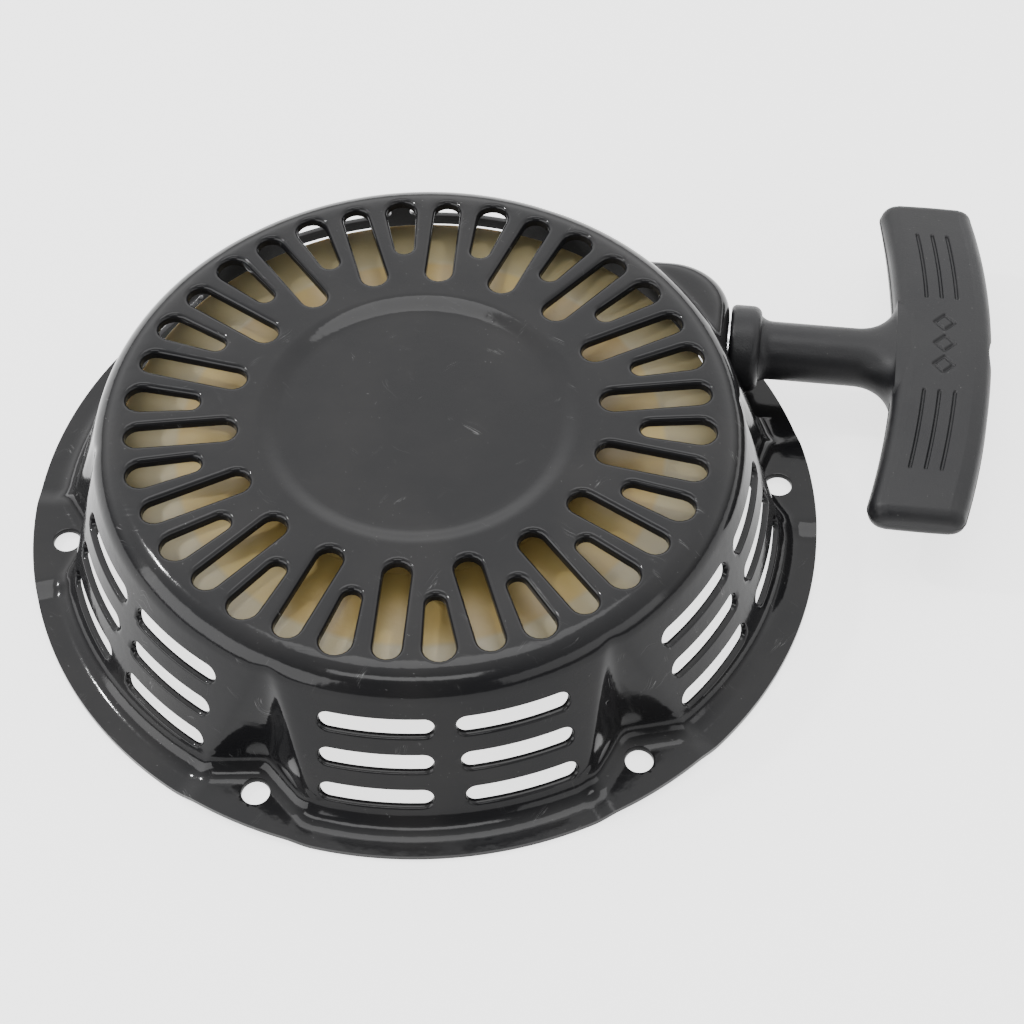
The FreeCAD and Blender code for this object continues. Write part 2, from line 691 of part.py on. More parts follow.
def make_grip():
    """The T grip: a crescent bar, thick in the middle, on a round stem with a flared nose."""
    half = size("bar_length") / 2
    drop = size("bar_arc") - math.sqrt(size("bar_arc") ** 2 - half ** 2)
    plan = new_body("bar_plan")
    outline = new_sketch(plan, "bar_outline", "XY_Plane", "0 - bar_thick / 2")
    inner, outer = size("bar_inner"), size("bar_outer")

    def point(x, y):
        return FreeCAD.Vector(x, y, 0)

    outline.addGeometry(Part.Arc(point(outer - drop, -half), point(outer, 0),
                                 point(outer - drop, half)))
    outline.addGeometry(Part.LineSegment(point(outer - drop, half), point(inner - drop, half)))
    outline.addGeometry(Part.Arc(point(inner - drop, half), point(inner, 0),
                                 point(inner - drop, -half)))
    outline.addGeometry(Part.LineSegment(point(inner - drop, -half), point(outer - drop, -half)))
    for arc, far in ((0, "bar_outer"), (2, "bar_inner")):
        pin_point(outline, arc, 3, f"{far} - bar_arc", "0")
        index = outline.addConstraint(Sketcher.Constraint("Radius", arc, size("bar_arc")))
        outline.setExpression(f"Constraints[{index}]", in_sheet("bar_arc"))
    padded(plan, outline, "bar_thick", "bar_pad")

    crowns = []
    for sign in (1, -1):
        crown = add("Part::Cylinder", f"crown_{'top' if sign > 0 else 'bottom'}",
                    Radius="bar_crown", Height="100")
        crown.Placement.Rotation = FreeCAD.Rotation(FreeCAD.Vector(0, 1, 0), 90)
        bind(crown, Placement__Base__x="bar_inner - 40",
             Placement__Base__z=f"{sign} * ( bar_thick / 2 - bar_crown )")
        crowns.append(crown)
    bar = common("bar_form", plan, *crowns)
    doc.recompute()
    rounded = doc.addObject("Part::Fillet", "bar_rounded")
    rounded.Base = bar
    edge = size("bar_edge")
    rounded.Edges = [(i, edge, edge) for i in range(1, len(bar.Shape.Edges) + 1)]
    doc.recompute()

    stem = revolved("stem", [
        ("0", "nose_start"),
        ("nose_radius - 1.6", "nose_start"),
        ("nose_radius", "nose_start + 1.6"),
        ("nose_radius", "nose_start + 6.5"),
        ("nose_radius - 1.6", "nose_start + 9.5"),
        ("stem_radius", "nose_start + 14.5"),
        ("stem_radius", "bar_inner + 4"),
        ("0", "bar_inner + 4"),
    ])
    stem.Placement.Rotation = FreeCAD.Rotation(FreeCAD.Vector(0, 1, 0), 90)
    bore = rod_along_x("grip_bore", "rope_radius + 0.4", "100", "nose_start - 5", "0", "0")
    mouth = rod_along_x("nose_mouth", "eyelet_flange + 0.6", "3.4", "nose_start - 1", "0", "0")
    pocket = rod_along_x("knot_pocket", "knot_pocket_radius", "knot_pocket_depth + 5",
                         "bar_outer - knot_pocket_depth", "0", "0")
    solid = fuse("grip_solid", rounded, stem)
    cutters = fuse("grip_cutters", bore, mouth, pocket)
    grip = bind(cut("grip_cut", solid, cutters), Placement__Base__y="rope_y",
                Placement__Base__z="rope_z")
    node(grip, "grip")


def on_pawl(reach, swing=0.0):
    """A point of the first pawl's arm, reach from its pivot, when the pawl has swung."""
    angle = math.radians(PAWL_LEAN + swing)
    return FreeCAD.Vector(size("pawl_pivot_radius") + reach * math.cos(angle),
                          reach * math.sin(angle), 0)


def make_pawls():
    """Two steel pawls, half a turn apart, each with its pin, its peg and a return spring."""
    low, thick = size("pawl_low"), size("pawl_gauge")
    pivot = on_pawl(0)
    peg = on_pawl(size("pawl_peg_reach"))
    tip = on_pawl(size("pawl_length") - 2.2)
    up = FreeCAD.Vector(0, 0, 1)
    along = (tip - pivot).normalize()
    side = up.cross(along)
    root = Part.makeCylinder(6.0, thick, pivot + up * low)
    end = Part.makeCylinder(2.2, thick, tip + up * low)
    corners = [pivot + side * 5.6, tip + side * 2.2, tip - side * 2.2, pivot - side * 5.6]
    arm = Part.Face(Part.makePolygon([c + up * low for c in corners + corners[:1]]))
    arm = arm.extrude(up * thick)
    pin_height = size("pawl_pin_top") - low
    pin = Part.makeCylinder(size("pawl_pin_radius"), pin_height, pivot + up * low)
    peg_depth = thick / 2 + low - size("guide_low")
    stud = Part.makeCylinder(size("pawl_peg_radius"), peg_depth,
                             peg + up * (low + thick / 2 - peg_depth))
    pawl = root.fuse([end, arm, pin, stud]).removeSplitter()
    coil_radius, wire = 4.2, 0.45
    coils = [Part.makeTorus(coil_radius, wire, pivot + up * (13.7 + 0.8 * turn), up)
             for turn in range(3)]
    coil = coils[0].fuse(coils[1:]).removeSplitter()
    for i, turned in enumerate((0, 180), start=1):
        for name, shape in ((f"pawl_{i}", pawl), (f"pawl_spring_{i}", coil)):
            made = doc.addObject("Part::Feature", name + "_shape")
            made.Shape = shape
            node(turn_about_z(made, turned), name)


def make_guide():
    """The ratchet guide: a disc on the post's nose with a cam slot round each pawl's peg."""
    disc = cylinder("guide_disc", "guide_radius", "guide_gauge", z="guide_low")
    bore = cylinder("guide_hole", "guide_bore", "10", z="0")
    gap = size("pawl_peg_radius") + 0.5
    steps = 8
    slots = []
    for step in range(steps + 1):
        share = step / steps
        place = on_pawl(size("pawl_peg_reach"), PAWL_SWING * share)
        turned = FreeCAD.Rotation(FreeCAD.Vector(0, 0, 1), -GUIDE_TURN * share)
        slots.append(turned.multVec(place))
    pieces = []
    for a, b in zip(slots, slots[1:]):
        run = (b - a)
        across = FreeCAD.Vector(-run.y, run.x, 0).normalize() * gap
        outline = Part.makePolygon([a + across, b + across, b - across, a - across, a + across])
        pieces.append(Part.Face(outline).extrude(FreeCAD.Vector(0, 0, 10)))
    pieces += [Part.makeCylinder(gap, 10, p) for p in slots]
    slot = doc.addObject("Part::Feature", "cam_slot")
    slot.Shape = pieces[0].fuse(pieces[1:]).removeSplitter()
    slots = ring_of("cam_slots", slot, 2, 0.0)
    node(cut("guide_cut", disc, fuse("guide_cutters", bore, slots)), "ratchet_guide")


def make_centre_bolt():
    """The centre bolt, its washer and the wire spring that makes the guide drag."""
    head_top = "post_end - washer_gauge"
    washer = cylinder("washer_disc", "washer_radius", "washer_gauge", z=head_top)
    washer_hole = cylinder("washer_hole", "bolt_radius + 0.2", "4", z=f"{head_top} - 1")
    node(cut("washer_cut", washer, washer_hole), "thrust_washer")

    shank = cylinder("bolt_shank", "bolt_radius", "bolt_length", z=head_top)
    head = add("Part::Prism", "bolt_head", Circumradius="bolt_head_width / 1.7320508",
               Height="bolt_head_high")
    head.Polygon = 6
    bind(head, Placement__Base__z=f"{head_top} - bolt_head_high")
    node(fuse("bolt_solid", shank, head), "centre_bolt")

    drag = add("Part::Torus", "drag_ring", Radius1="washer_radius + 1.6", Radius2="0.7")
    drag.Angle3 = 300
    bind(drag, Placement__Base__z="guide_low - 0.72")
    node(drag, "friction_spring")


def write_all():
    """Writes every piece after checking that nothing in the document failed."""
    doc.recompute()
    failed = [o.Name for o in doc.Objects if {"Invalid", "Error"} & set(o.State)]
    empty = [o.Label for o in nodes if o.Shape.isNull() or not o.Shape.isValid()]
    if failed or empty:
        raise RuntimeError(f"failed objects {failed}, empty or invalid pieces {empty}")
    os.makedirs("parts", exist_ok=True)
    for item in nodes:
        item.Shape.exportStep(f"parts/{item.Label}.step")
        print(f"{item.Label:18s} solids {len(item.Shape.Solids)}  "
              f"volume {item.Shape.Volume / 1000:9.3f} cm3")


bolt_count = int(SIZES["bolt_count"])
first_bolt = SIZES["first_bolt_angle"]
make_housing()
make_post()
make_eyelet()
make_reel()
make_spring()
make_rope()
make_grip()
make_pawls()
make_guide()
make_centre_bolt()
write_all()
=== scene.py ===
import math

import bmesh
import bpy
import numpy as np
from mathutils import Matrix, Vector
from mathutils.geometry import delaunay_2d_cdt


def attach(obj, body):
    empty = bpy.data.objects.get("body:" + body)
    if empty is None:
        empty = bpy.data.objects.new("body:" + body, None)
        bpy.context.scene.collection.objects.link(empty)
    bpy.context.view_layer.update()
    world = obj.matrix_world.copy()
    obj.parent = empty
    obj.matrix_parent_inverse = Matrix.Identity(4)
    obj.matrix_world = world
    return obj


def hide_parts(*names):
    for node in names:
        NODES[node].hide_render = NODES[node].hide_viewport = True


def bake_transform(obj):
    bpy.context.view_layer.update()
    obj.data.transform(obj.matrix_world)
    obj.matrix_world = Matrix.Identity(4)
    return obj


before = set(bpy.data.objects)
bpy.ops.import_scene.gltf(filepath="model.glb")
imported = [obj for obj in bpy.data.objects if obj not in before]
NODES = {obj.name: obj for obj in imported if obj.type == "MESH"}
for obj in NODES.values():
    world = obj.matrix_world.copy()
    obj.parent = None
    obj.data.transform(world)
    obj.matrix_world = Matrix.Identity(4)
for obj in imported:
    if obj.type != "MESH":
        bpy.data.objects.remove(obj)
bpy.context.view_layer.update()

MM = 0.001

# ---------------------------------------------------------------------------------------------
# sizes of the pressed housing, in millimetres, in the frame of the CAD model
GAUGE = 1.5
FLANGE_R = 109.5
TOP = 46.0
CONE_LOW, CONE_HIGH = 101.1, 85.6
SLOPE = (CONE_LOW - CONE_HIGH) / TOP
DRAFT = math.atan(SLOPE)
SHOULDER = 10.0
REACH = SHOULDER * math.tan((math.pi / 2 - DRAFT) / 2)
FOOT = 7.0
RECESS_DEPTH = 1.6
RECESS_LOW_R, RECESS_HIGH_R = 37.0, 43.8
FIRST_BOLT = 12.0
BOLT_R = 100.0
BOLT_HOLE = 3.7
PAD_LIFT = 1.2
PAD_HALF = 9.2
PAD_EASE_IN, PAD_EASE_OUT = 4.5, 2.6
NOTCH_LOW, NOTCH_HIGH = 92.0, 86.7
NOTCH_TOP = 40.0
NOTCH_FLARE = 1.94
NOTCH_INNER = 2.6
NOTCH_EASE = 0.55
NOTCH_SPAN = 14
NOTCH_SOFT = 0.9
OUT_X, OUT_Y, OUT_Z = 80.0, 74.4, 37.0
OUT_CORNER, OUT_ROUND = 16.0, 8.0
ROPE_Y, ROPE_Z = 55.5, 20.0
EYELET_R = 5.4

# angles, in degrees, over which the outlet comes out of the wall, its flat seat for the grip
# ends, and it sinks back into the wall
OUT_SPAN = (25.0, 61.0)
OUT_START, SEAT_END, OUT_END = (25.9, 27.1), (40.0, 43.0), (58.5, 60.5)
LOUVRE_HALF, LOUVRE_R = 15.0 - 2.85, 2.85
LOUVRE_TOP, LOUVRE_PITCH, LOUVRE_ANGLE = 31.5, 10.8, 11.2


def mesh_object(name, verts, faces, material, smooth=True):
    """A new object from vertices in millimetres."""
    mesh = bpy.data.meshes.new(name)
    mesh.from_pydata([tuple(v) for v in np.asarray(verts, float) * MM], [], faces)
    mesh.validate()
    mesh.update()
    obj = bpy.data.objects.new(name, mesh)
    bpy.context.scene.collection.objects.link(obj)
    if smooth:
        for p in mesh.polygons:
            p.use_smooth = True
    if material:
        mesh.materials.append(material)
    return obj


def side_faces(rings, n, closed=False):
    """Quads between neighbouring rings of n points."""
    faces = []
    for k in range(rings if closed else rings - 1):
        m = (k + 1) % rings
        for i in range(n):
            j = (i + 1) % n
            faces.append((k * n + i, k * n + j, m * n + j, m * n + i))
    return faces


def solid_faces(rings, n):
    """The same quads, with a cap on the first ring and on the last."""
    caps = [tuple(range(n)), tuple((rings - 1) * n + i for i in range(n))]
    return side_faces(rings, n) + caps


def face_outwards(obj):
    bm = bmesh.new()
    bm.from_mesh(obj.data)
    bmesh.ops.recalc_face_normals(bm, faces=bm.faces)
    bm.to_mesh(obj.data)
    bm.free()


def combine(obj, other, operation):
    """Applies a boolean between two closed meshes and removes the other."""
    step = obj.modifiers.new("combine", "BOOLEAN")
    step.operation = operation
    step.solver = "MANIFOLD"
    step.object = other
    dg = bpy.context.evaluated_depsgraph_get()
    done = bpy.data.meshes.new_from_object(obj.evaluated_get(dg))
    obj.modifiers.clear()
    old = obj.data
    obj.data = done
    bpy.data.meshes.remove(old)
    bpy.data.objects.remove(other)


def subtract(obj, tools):
    """Cuts the closed meshes tools out of obj."""
    joined = tools[0]
    if len(tools) > 1:
        with bpy.context.temp_override(active_object=joined, selected_editable_objects=tools):
            bpy.ops.object.join()
    combine(obj, joined, "DIFFERENCE")


def sharpen(obj, degrees):
    """Smooth shading with edges sharper than that angle kept."""
    for p in obj.data.polygons:
        p.use_smooth = True
    obj.data.set_sharp_from_angle(angle=math.radians(degrees))


# ---------------------------------------------------------------------------------------------
# the form of the pressing
def cone(z):
    return CONE_LOW - SLOPE * z


def smooth_min(a, b, width):
    return 0.5 * (a + b - np.sqrt((a - b) ** 2 + width ** 2))


def smooth_max(a, b, width):
    return 0.5 * (a + b + np.sqrt((a - b) ** 2 + width ** 2))


def step_up(x, low, high):
    t = np.clip((x - low) / (high - low), 0, 1)
    return t * t * (3 - 2 * t)


def off_bolt(theta):
    """Angle from the nearest bolt, in degrees."""
    return (theta - FIRST_BOLT + 30.0) % 60.0 - 30.0


def notch_radius(theta, z):
    """Radius of the V notch's face at an angle and height."""
    a = math.radians(off_bolt(theta))
    corner = NOTCH_LOW - (NOTCH_LOW - NOTCH_HIGH) * (z - GAUGE) / (NOTCH_TOP - GAUGE)
    r = corner / math.cos(a)
    for _ in range(3):
        side = np.sqrt((r * math.sin(a)) ** 2 + NOTCH_INNER ** 2) - NOTCH_EASE * NOTCH_INNER
        r = (corner + side / NOTCH_FLARE) / math.cos(a)
    return r


def with_notch(theta, r, z):
    if abs(off_bolt(theta)) > NOTCH_SPAN:
        return r
    return smooth_min(r, notch_radius(theta, z), NOTCH_SOFT)


def outlet_radius(theta):
    """Plan radius of the rope outlet's rounded box along a ray."""
    a = math.radians(theta)
    c, s = math.cos(a), math.sin(a)
    x0, y0 = OUT_X - OUT_CORNER, OUT_Y - OUT_CORNER
    r = min(OUT_X / max(c, 1e-6), OUT_Y / max(s, 1e-6))
    along = x0 * c + y0 * s
    depth = along ** 2 - (x0 ** 2 + y0 ** 2 - OUT_CORNER ** 2)
    if depth > 0:
        arc = along + math.sqrt(depth)
        if arc * c > x0 and arc * s > y0:
            r = min(r, arc)
    return r


N_PATH, N_SOFT, PATH_SOFT = 260, 16, 1.3


def outlet_path(theta, z_low):
    """Dense (r, z) outline from the shoulder down over the outlet to z_low, at one angle.

    It is smoothed over PATH_SOFT millimetres, so its corners are pressed ones.
    """
    full = outlet_radius(theta)
    seat = float(step_up(theta, *OUT_START) * (1 - step_up(theta, *SEAT_END)))
    present = float(step_up(theta, *OUT_START) * (1 - step_up(theta, *OUT_END)))
    upper = [(cone(z), z) for z in np.linspace(OUT_Z + 2.2, OUT_Z, 8)]
    arc = []
    for k in range(24):
        phi = math.pi / 2 * k / 23
        arc.append((full - OUT_ROUND + OUT_ROUND * math.sin(phi),
                    OUT_Z - OUT_ROUND + OUT_ROUND * math.cos(phi)))
    lower = [(full, z) for z in np.linspace(OUT_Z - OUT_ROUND, z_low, 60)[1:]]
    side = []
    for r, z in arc + lower:
        open_wall = smooth_max(r, cone(z), 0.8)
        cut_wall = max(r, min(cone(z), full))
        wall = seat * cut_wall + (1 - seat) * open_wall
        side.append((present * wall + (1 - present) * cone(z), z))
    ledge = [(cone(OUT_Z) + (side[0][0] - cone(OUT_Z)) * t, OUT_Z) for t in np.linspace(0, 1, 20)]
    points = np.array(upper + ledge[1:] + side)
    gap = np.hypot(*np.diff(points, axis=0).T)
    s = np.concatenate([[0], np.cumsum(gap)])
    even = np.linspace(0, s[-1], N_PATH)
    path = np.stack([np.interp(even, s, points[:, 0]), np.interp(even, s, points[:, 1])], 1)
    spacing = s[-1] / (N_PATH - 1)
    window = np.exp(-0.5 * (np.arange(-N_SOFT, N_SOFT + 1) / (PATH_SOFT / spacing)) ** 2)
    window /= window.sum()
    padded = np.concatenate([
        2 * path[0] - path[N_SOFT:0:-1], path, 2 * path[-1] - path[-2:-2 - N_SOFT:-1]
    ])
    return np.stack([np.convolve(padded[:, i], window, "valid") for i in (0, 1)], 1)


def wall_radius(theta, z):
    return with_notch(theta, cone(z), z)


def floor_level(theta):
    """Height of the flange's upper face, raised at the bolt pads."""
    across = abs(math.radians(off_bolt(theta))) * BOLT_R
    edge = math.radians(PAD_HALF) * BOLT_R
    return GAUGE + PAD_LIFT * float(1 - step_up(across, edge - PAD_EASE_IN, edge + PAD_EASE_OUT))


N_SHOULDER, N_WALL, N_FOOT, N_FLANGE = 22, 56, 12, 12
INNER_LOOP, OUTER_LOOP = 44.0, 81.3


def meridian(theta):
    """Outline of the outer skin from OUTER_LOOP to the rim, at one angle."""
    centre_r = CONE_HIGH - REACH
    centre_z = TOP - SHOULDER
    first = math.asin((OUTER_LOOP - centre_r) / SHOULDER)
    points = []
    for k in range(N_SHOULDER):
        phi = first + (math.pi / 2 - DRAFT - first) * k / N_SHOULDER
        r, z = centre_r + SHOULDER * math.sin(phi), centre_z + SHOULDER * math.cos(phi)
        points.append((with_notch(theta, r, z) if k else r, z))
    z_high = centre_z + SHOULDER * math.sin(DRAFT)
    floor = floor_level(theta)
    in_outlet = OUT_SPAN[0] < theta % 360 < OUT_SPAN[1]
    if in_outlet:
        rough = outlet_path(theta, floor)
        foot_r = rough[-1, 0]
        lean = math.atan2(rough[-1, 0] - rough[-30, 0], rough[-30, 1] - rough[-1, 1])
    else:
        foot_r = wall_radius(theta, floor)
        lean = math.atan(wall_radius(theta, floor) - wall_radius(theta, floor + 1.0))
    spread = math.tan((math.pi / 2 - lean) / 2)
    rounding = min(FOOT, (FLANGE_R - 1.5 - foot_r) / spread)
    tangent = rounding * spread
    z_low = floor + tangent * math.cos(lean)
    for k in range(N_WALL):
        share = k / N_WALL
        if in_outlet:
            rows = rough[:, 1] >= z_low - 0.2
            path = rough[rows]
            gap = np.concatenate([[0], np.cumsum(np.hypot(*np.diff(path, axis=0).T))])
            s = share * gap[-1]
            points.append((float(np.interp(s, gap, path[:, 0])),
                           float(np.interp(s, gap, path[:, 1]))))
        else:
            z = z_high + (z_low - z_high) * share
            points.append((float(wall_radius(theta, z)), z))
    centre = (foot_r + tangent, floor + rounding)
    for k in range(N_FOOT):
        phi = (math.pi / 2 - lean) * k / (N_FOOT - 1) + lean
        points.append((centre[0] - rounding * math.cos(phi),
                       centre[1] - rounding * math.sin(phi)))
    start = points[-1][0]
    for k in range(1, N_FLANGE + 1):
        r = start + (FLANGE_R - start) * k / N_FLANGE
        points.append((r, floor))
    return points


FINE_HALF = 12.0


def column_angles():
    """Angles of the mesh's columns: fine at the notches and the outlet."""
    steps = []
    for k in range(6):
        base = FIRST_BOLT + 60.0 * k
        near = list(np.arange(-FINE_HALF, FINE_HALF, 0.3))
        pitch = 0.5 if k == 0 else 1.0
        far = list(np.arange(FINE_HALF, 60.0 - FINE_HALF - 1e-6, pitch))
        steps += [base + a for a in near + far]
    return np.array(steps)


def top_height(r):
    """Height of the outer skin's top, from the centre out to OUTER_LOOP."""
    low = TOP - RECESS_DEPTH
    rise = float(step_up(r, RECESS_LOW_R, RECESS_HIGH_R))
    past = max(0.0, r - (CONE_HIGH - REACH))
    drop = SHOULDER - math.sqrt(max(SHOULDER ** 2 - past ** 2, 0))
    return low + RECESS_DEPTH * rise - drop


# vents in the top: (start, end, small, large) of the clear hole
LONG_VENT = (52.4, 75.0, 3.6, 3.6)
SHORT_VENT = (61.9, 75.2, 2.6, 4.2)
VENT_COUNT, VENT_STEPS = 36, 10
LIP = 1.5


def between(p, q, steps):
    """The points that divide the line from p to q into equal steps, without its ends."""
    return [(p[0] + (q[0] - p[0]) * k / steps, p[1] + (q[1] - p[1]) * k / steps)
            for k in range(1, steps)]


def vent_outline(kind, grow):
    """Closed outline of a vent lying along +X, grown outwards, evenly numbered."""
    start, end, small, large = kind
    lean = math.asin((large - small) / (end - start))
    small, large = small + grow, large + grow
    points = []
    for k in range(VENT_STEPS + 1):
        a = (math.pi / 2 + lean) - (math.pi + 2 * lean) * k / VENT_STEPS
        points.append((end + large * math.cos(a), large * math.sin(a)))
    b = -(math.pi / 2 + lean)
    near_end = (start + small * math.cos(b), small * math.sin(b))
    points += between(points[-1], near_end, VENT_STEPS)
    for k in range(VENT_STEPS + 1):
        a = b - (math.pi - 2 * lean) * k / VENT_STEPS
        points.append((start + small * math.cos(a), small * math.sin(a)))
    return np.array(points + between(points[-1], points[0], VENT_STEPS))


class Skin:
    """Vertices of the outer skin, with the loops where the sheet ends."""

    def __init__(self):
        self.verts, self.faces, self.holes = [], [], []

    def add(self, points):
        first = len(self.verts)
        self.verts += [tuple(p) for p in points]
        return list(range(first, first + len(points)))

    def bridge(self, a, b, closed=True):
        n = len(a)
        for i in range(n if closed else n - 1):
            j = (i + 1) % n
            self.faces.append((a[i], b[i], b[j], a[j]))


def add_walls(skin, turn, angles):
    """Rows of the skin from OUTER_LOOP down the wall and out to the rim."""
    outlines = np.array([meridian(a) for a in angles])
    rows = []
    for j in range(outlines.shape[1]):
        r, z = outlines[:, j, 0], outlines[:, j, 1]
        rows.append(skin.add(np.stack([r * np.cos(turn), r * np.sin(turn), z], 1)))
    for upper, lower in zip(rows, rows[1:]):
        skin.bridge(upper, lower)
    return rows


def add_recess(skin, turn):
    """The recess inside INNER_LOOP, closed by a fan at the centre; returns its outer loop."""
    rows = []
    for r in [INNER_LOOP] + list(np.arange(43.6, 37.4, -0.4)) + [36, 30, 22, 14, 6]:
        rows.append(skin.add([
            (r * math.cos(t), r * math.sin(t), top_height(r)) for t in turn[::2]
        ]))
    for outer, inner in zip(rows, rows[1:]):
        skin.bridge(inner, outer)
    hub = skin.add([(0, 0, top_height(0))])[0]
    last = rows[-1]
    for i in range(len(last)):
        skin.faces.append((hub, last[i], last[(i + 1) % len(last)]))
    return rows[0]


def add_lips(skin):
    """The turned-down lip of every vent, as (upper loop, lower loop) pairs."""
    levels = [(LIP * (1 - math.sin(p)), LIP * (1 - math.cos(p)))
              for p in np.linspace(0, math.pi / 2, 9)]
    levels += [(0, LIP + 1.4)]
    loops = []
    for n in range(VENT_COUNT):
        kind = SHORT_VENT if n % 2 else LONG_VENT
        a = math.radians(FIRST_BOLT + 360.0 / VENT_COUNT * n)
        c, s = math.cos(a), math.sin(a)
        rings = []
        for grow, drop in levels:
            ring = []
            for x, y in vent_outline(kind, grow):
                px, py = c * x - s * y, s * x + c * y
                ring.append((px, py, top_height(math.hypot(px, py)) - drop))
            rings.append(skin.add(ring))
        for outer, inner in zip(rings, rings[1:]):
            skin.bridge(inner, outer)
        loops.append((rings[0], rings[-1]))
    return loops


def clear_of_vents(p, outlines):
    """True where p is outside every vent and not too near one."""
    a = (math.degrees(math.atan2(p[1], p[0])) - FIRST_BOLT) % 360
    n = int(round(a / (360.0 / VENT_COUNT))) % VENT_COUNT
    for m in (n - 1, n, n + 1):
        loop = outlines[m % VENT_COUNT]
        if np.min(np.hypot(*(loop - p).T)) < 0.7:
            return False
        x, y = loop[:, 0] - p[0], loop[:, 1] - p[1]
        xn, yn = np.roll(x, -1), np.roll(y, -1)
        crossing = (y > 0) != (yn > 0)
        with np.errstate(divide="ignore", invalid="ignore"):
            at = x + (xn - x) * (-y) / (yn - y)
        if np.count_nonzero(crossing & (at > 0)) % 2:
            return False
    return True


def add_annulus(skin, turn, borders):
    """Triangles between the first two borders, round the vents that the others bound."""
    flat, fixed, constraint, loop_of = [], [], [], []
    for n, loop in enumerate(borders):
        start, count = len(flat), len(loop)
        flat += [Vector(skin.verts[i][:2]) for i in loop]
        fixed += loop
        constraint += [(start + i, start + (i + 1) % count) for i in range(count)]
        loop_of += [n] * count
    extra = []
    for r in (45.2, 46.4, 79.6, 80.5):
        extra += [(r * math.cos(t), r * math.sin(t)) for t in turn[::3]]
    grid = np.arange(-84, 84, 2.6)
    extra += [(x, y) for x in grid for y in grid if 47 < math.hypot(x, y) < 79]
    outlines = [np.array([skin.verts[i][:2] for i in loop]) for loop in borders[2:]]
    flat += [Vector(p) for p in extra if clear_of_vents(np.array(p), outlines)]
    places, _, triangles, origin = delaunay_2d_cdt(flat, constraint, [], 0, 1e-5)[:4]
    index, group = {}, {}
    added = []
    for i, source in enumerate(origin):
        known = [k for k in source if k < len(fixed)]
        if known:
            index[i], group[i] = fixed[known[0]], loop_of[known[0]]
        else:
            x, y = places[i]
            index[i], group[i] = len(skin.verts) + len(added), -1
            added.append((x, y, top_height(math.hypot(x, y))))
    skin.verts += added
    for tri in triangles:
        groups = {group[i] for i in tri}
        if len(groups) == 1 and groups.pop() > 0:
            continue
        skin.faces.append(tuple(index[i] for i in tri))


def build_skin():
    """The outer skin, its rim loop and the loops where the vents' lips end."""
    skin = Skin()
    angles = column_angles()
    turn = np.radians(angles)
    rows = add_walls(skin, turn, angles)
    inner_loop = add_recess(skin, turn)
    lips = add_lips(skin)
    add_annulus(skin, turn, [rows[0], inner_loop] + [upper for upper, _ in lips])
    return skin, rows[-1], [lower for _, lower in lips]


def closed_sheet(skin, ends):
    """Outer and inner skins joined round every end loop."""
    verts = np.array(skin.verts)
    mesh = bpy.data.meshes.new("skin")
    mesh.from_pydata([tuple(v) for v in verts], [], skin.faces)
    bm = bmesh.new()
    bm.from_mesh(mesh)
    bmesh.ops.recalc_face_normals(bm, faces=bm.faces)
    bm.verts.ensure_lookup_table()
    bm.faces.ensure_lookup_table()
    top = max(bm.faces, key=lambda f: f.calc_center_median().z)
    if top.normal.z < 0:
        bmesh.ops.reverse_faces(bm, faces=bm.faces)
    bm.normal_update()
    normals = np.array([v.normal[:] for v in bm.verts])
    faces = [tuple(v.index for v in f.verts) for f in bm.faces]
    bm.free()
    bpy.data.meshes.remove(mesh)
    count = len(verts)
    inner = verts - normals * GAUGE
    faces += [tuple(count + i for i in reversed(f)) for f in faces]
    for loop in ends:
        n = len(loop)
        for i in range(n):
            a, b = loop[i], loop[(i + 1) % n]
            faces.append((a, b, count + b, count + a))
    return np.concatenate([verts, inner]), faces


def wrapped_slot(middle, height):
    """Closed cutter for a louvre slot, wrapped round the cone, a little wider at the surface."""
    levels = [(4.0, 0.45), (0.05, 0.45), (-0.12, 0.22), (-0.42, 0.0), (-5.0, 0.0)]
    outline = []
    for centre, first in ((LOUVRE_HALF, math.pi / 2), (-LOUVRE_HALF, -math.pi / 2)):
        for k in range(15):
            outline.append((centre, first - math.pi * k / 14))
    rings = []
    for depth, grow in levels:
        radius = LOUVRE_R + grow
        flat = [(cx + radius * math.cos(a), radius * math.sin(a)) for cx, a in outline]
        full = []
        for i, p in enumerate(flat):
            q = flat[(i + 1) % len(flat)]
            full.append(p)
            if abs(p[0] - q[0]) > 5:
                full += between(p, q, 14)
        ring = []
        for x, z in full:
            level = height + z * math.cos(DRAFT)
            r = cone(level) + depth
            angle = math.radians(middle) + x / cone(height)
            ring.append((r * math.cos(angle), r * math.sin(angle), level))
        rings.append(ring)
    verts = [p for ring in rings for p in ring]
    obj = mesh_object("slot_cutter", verts, solid_faces(len(rings), len(rings[0])), None)
    face_outwards(obj)
    return obj


def turned_cutter(profile, matrix):
    """Closed cutter turned from (radius, height) pairs about its own Z, then placed."""
    n = 48
    verts = []
    for r, z in profile:
        for k in range(n):
            a = 2 * math.pi * k / n
            verts.append(matrix @ Vector((r * math.cos(a), r * math.sin(a), z)))
    obj = mesh_object("round_cutter", verts, solid_faces(len(profile), n), None)
    face_outwards(obj)
    return obj


def along_x(x):
    """Places a turned shape with its axis on the rope's, from x towards +X."""
    return Matrix.Translation((x, ROPE_Y, ROPE_Z)) @ Matrix.Rotation(math.pi / 2, 4, "Y")


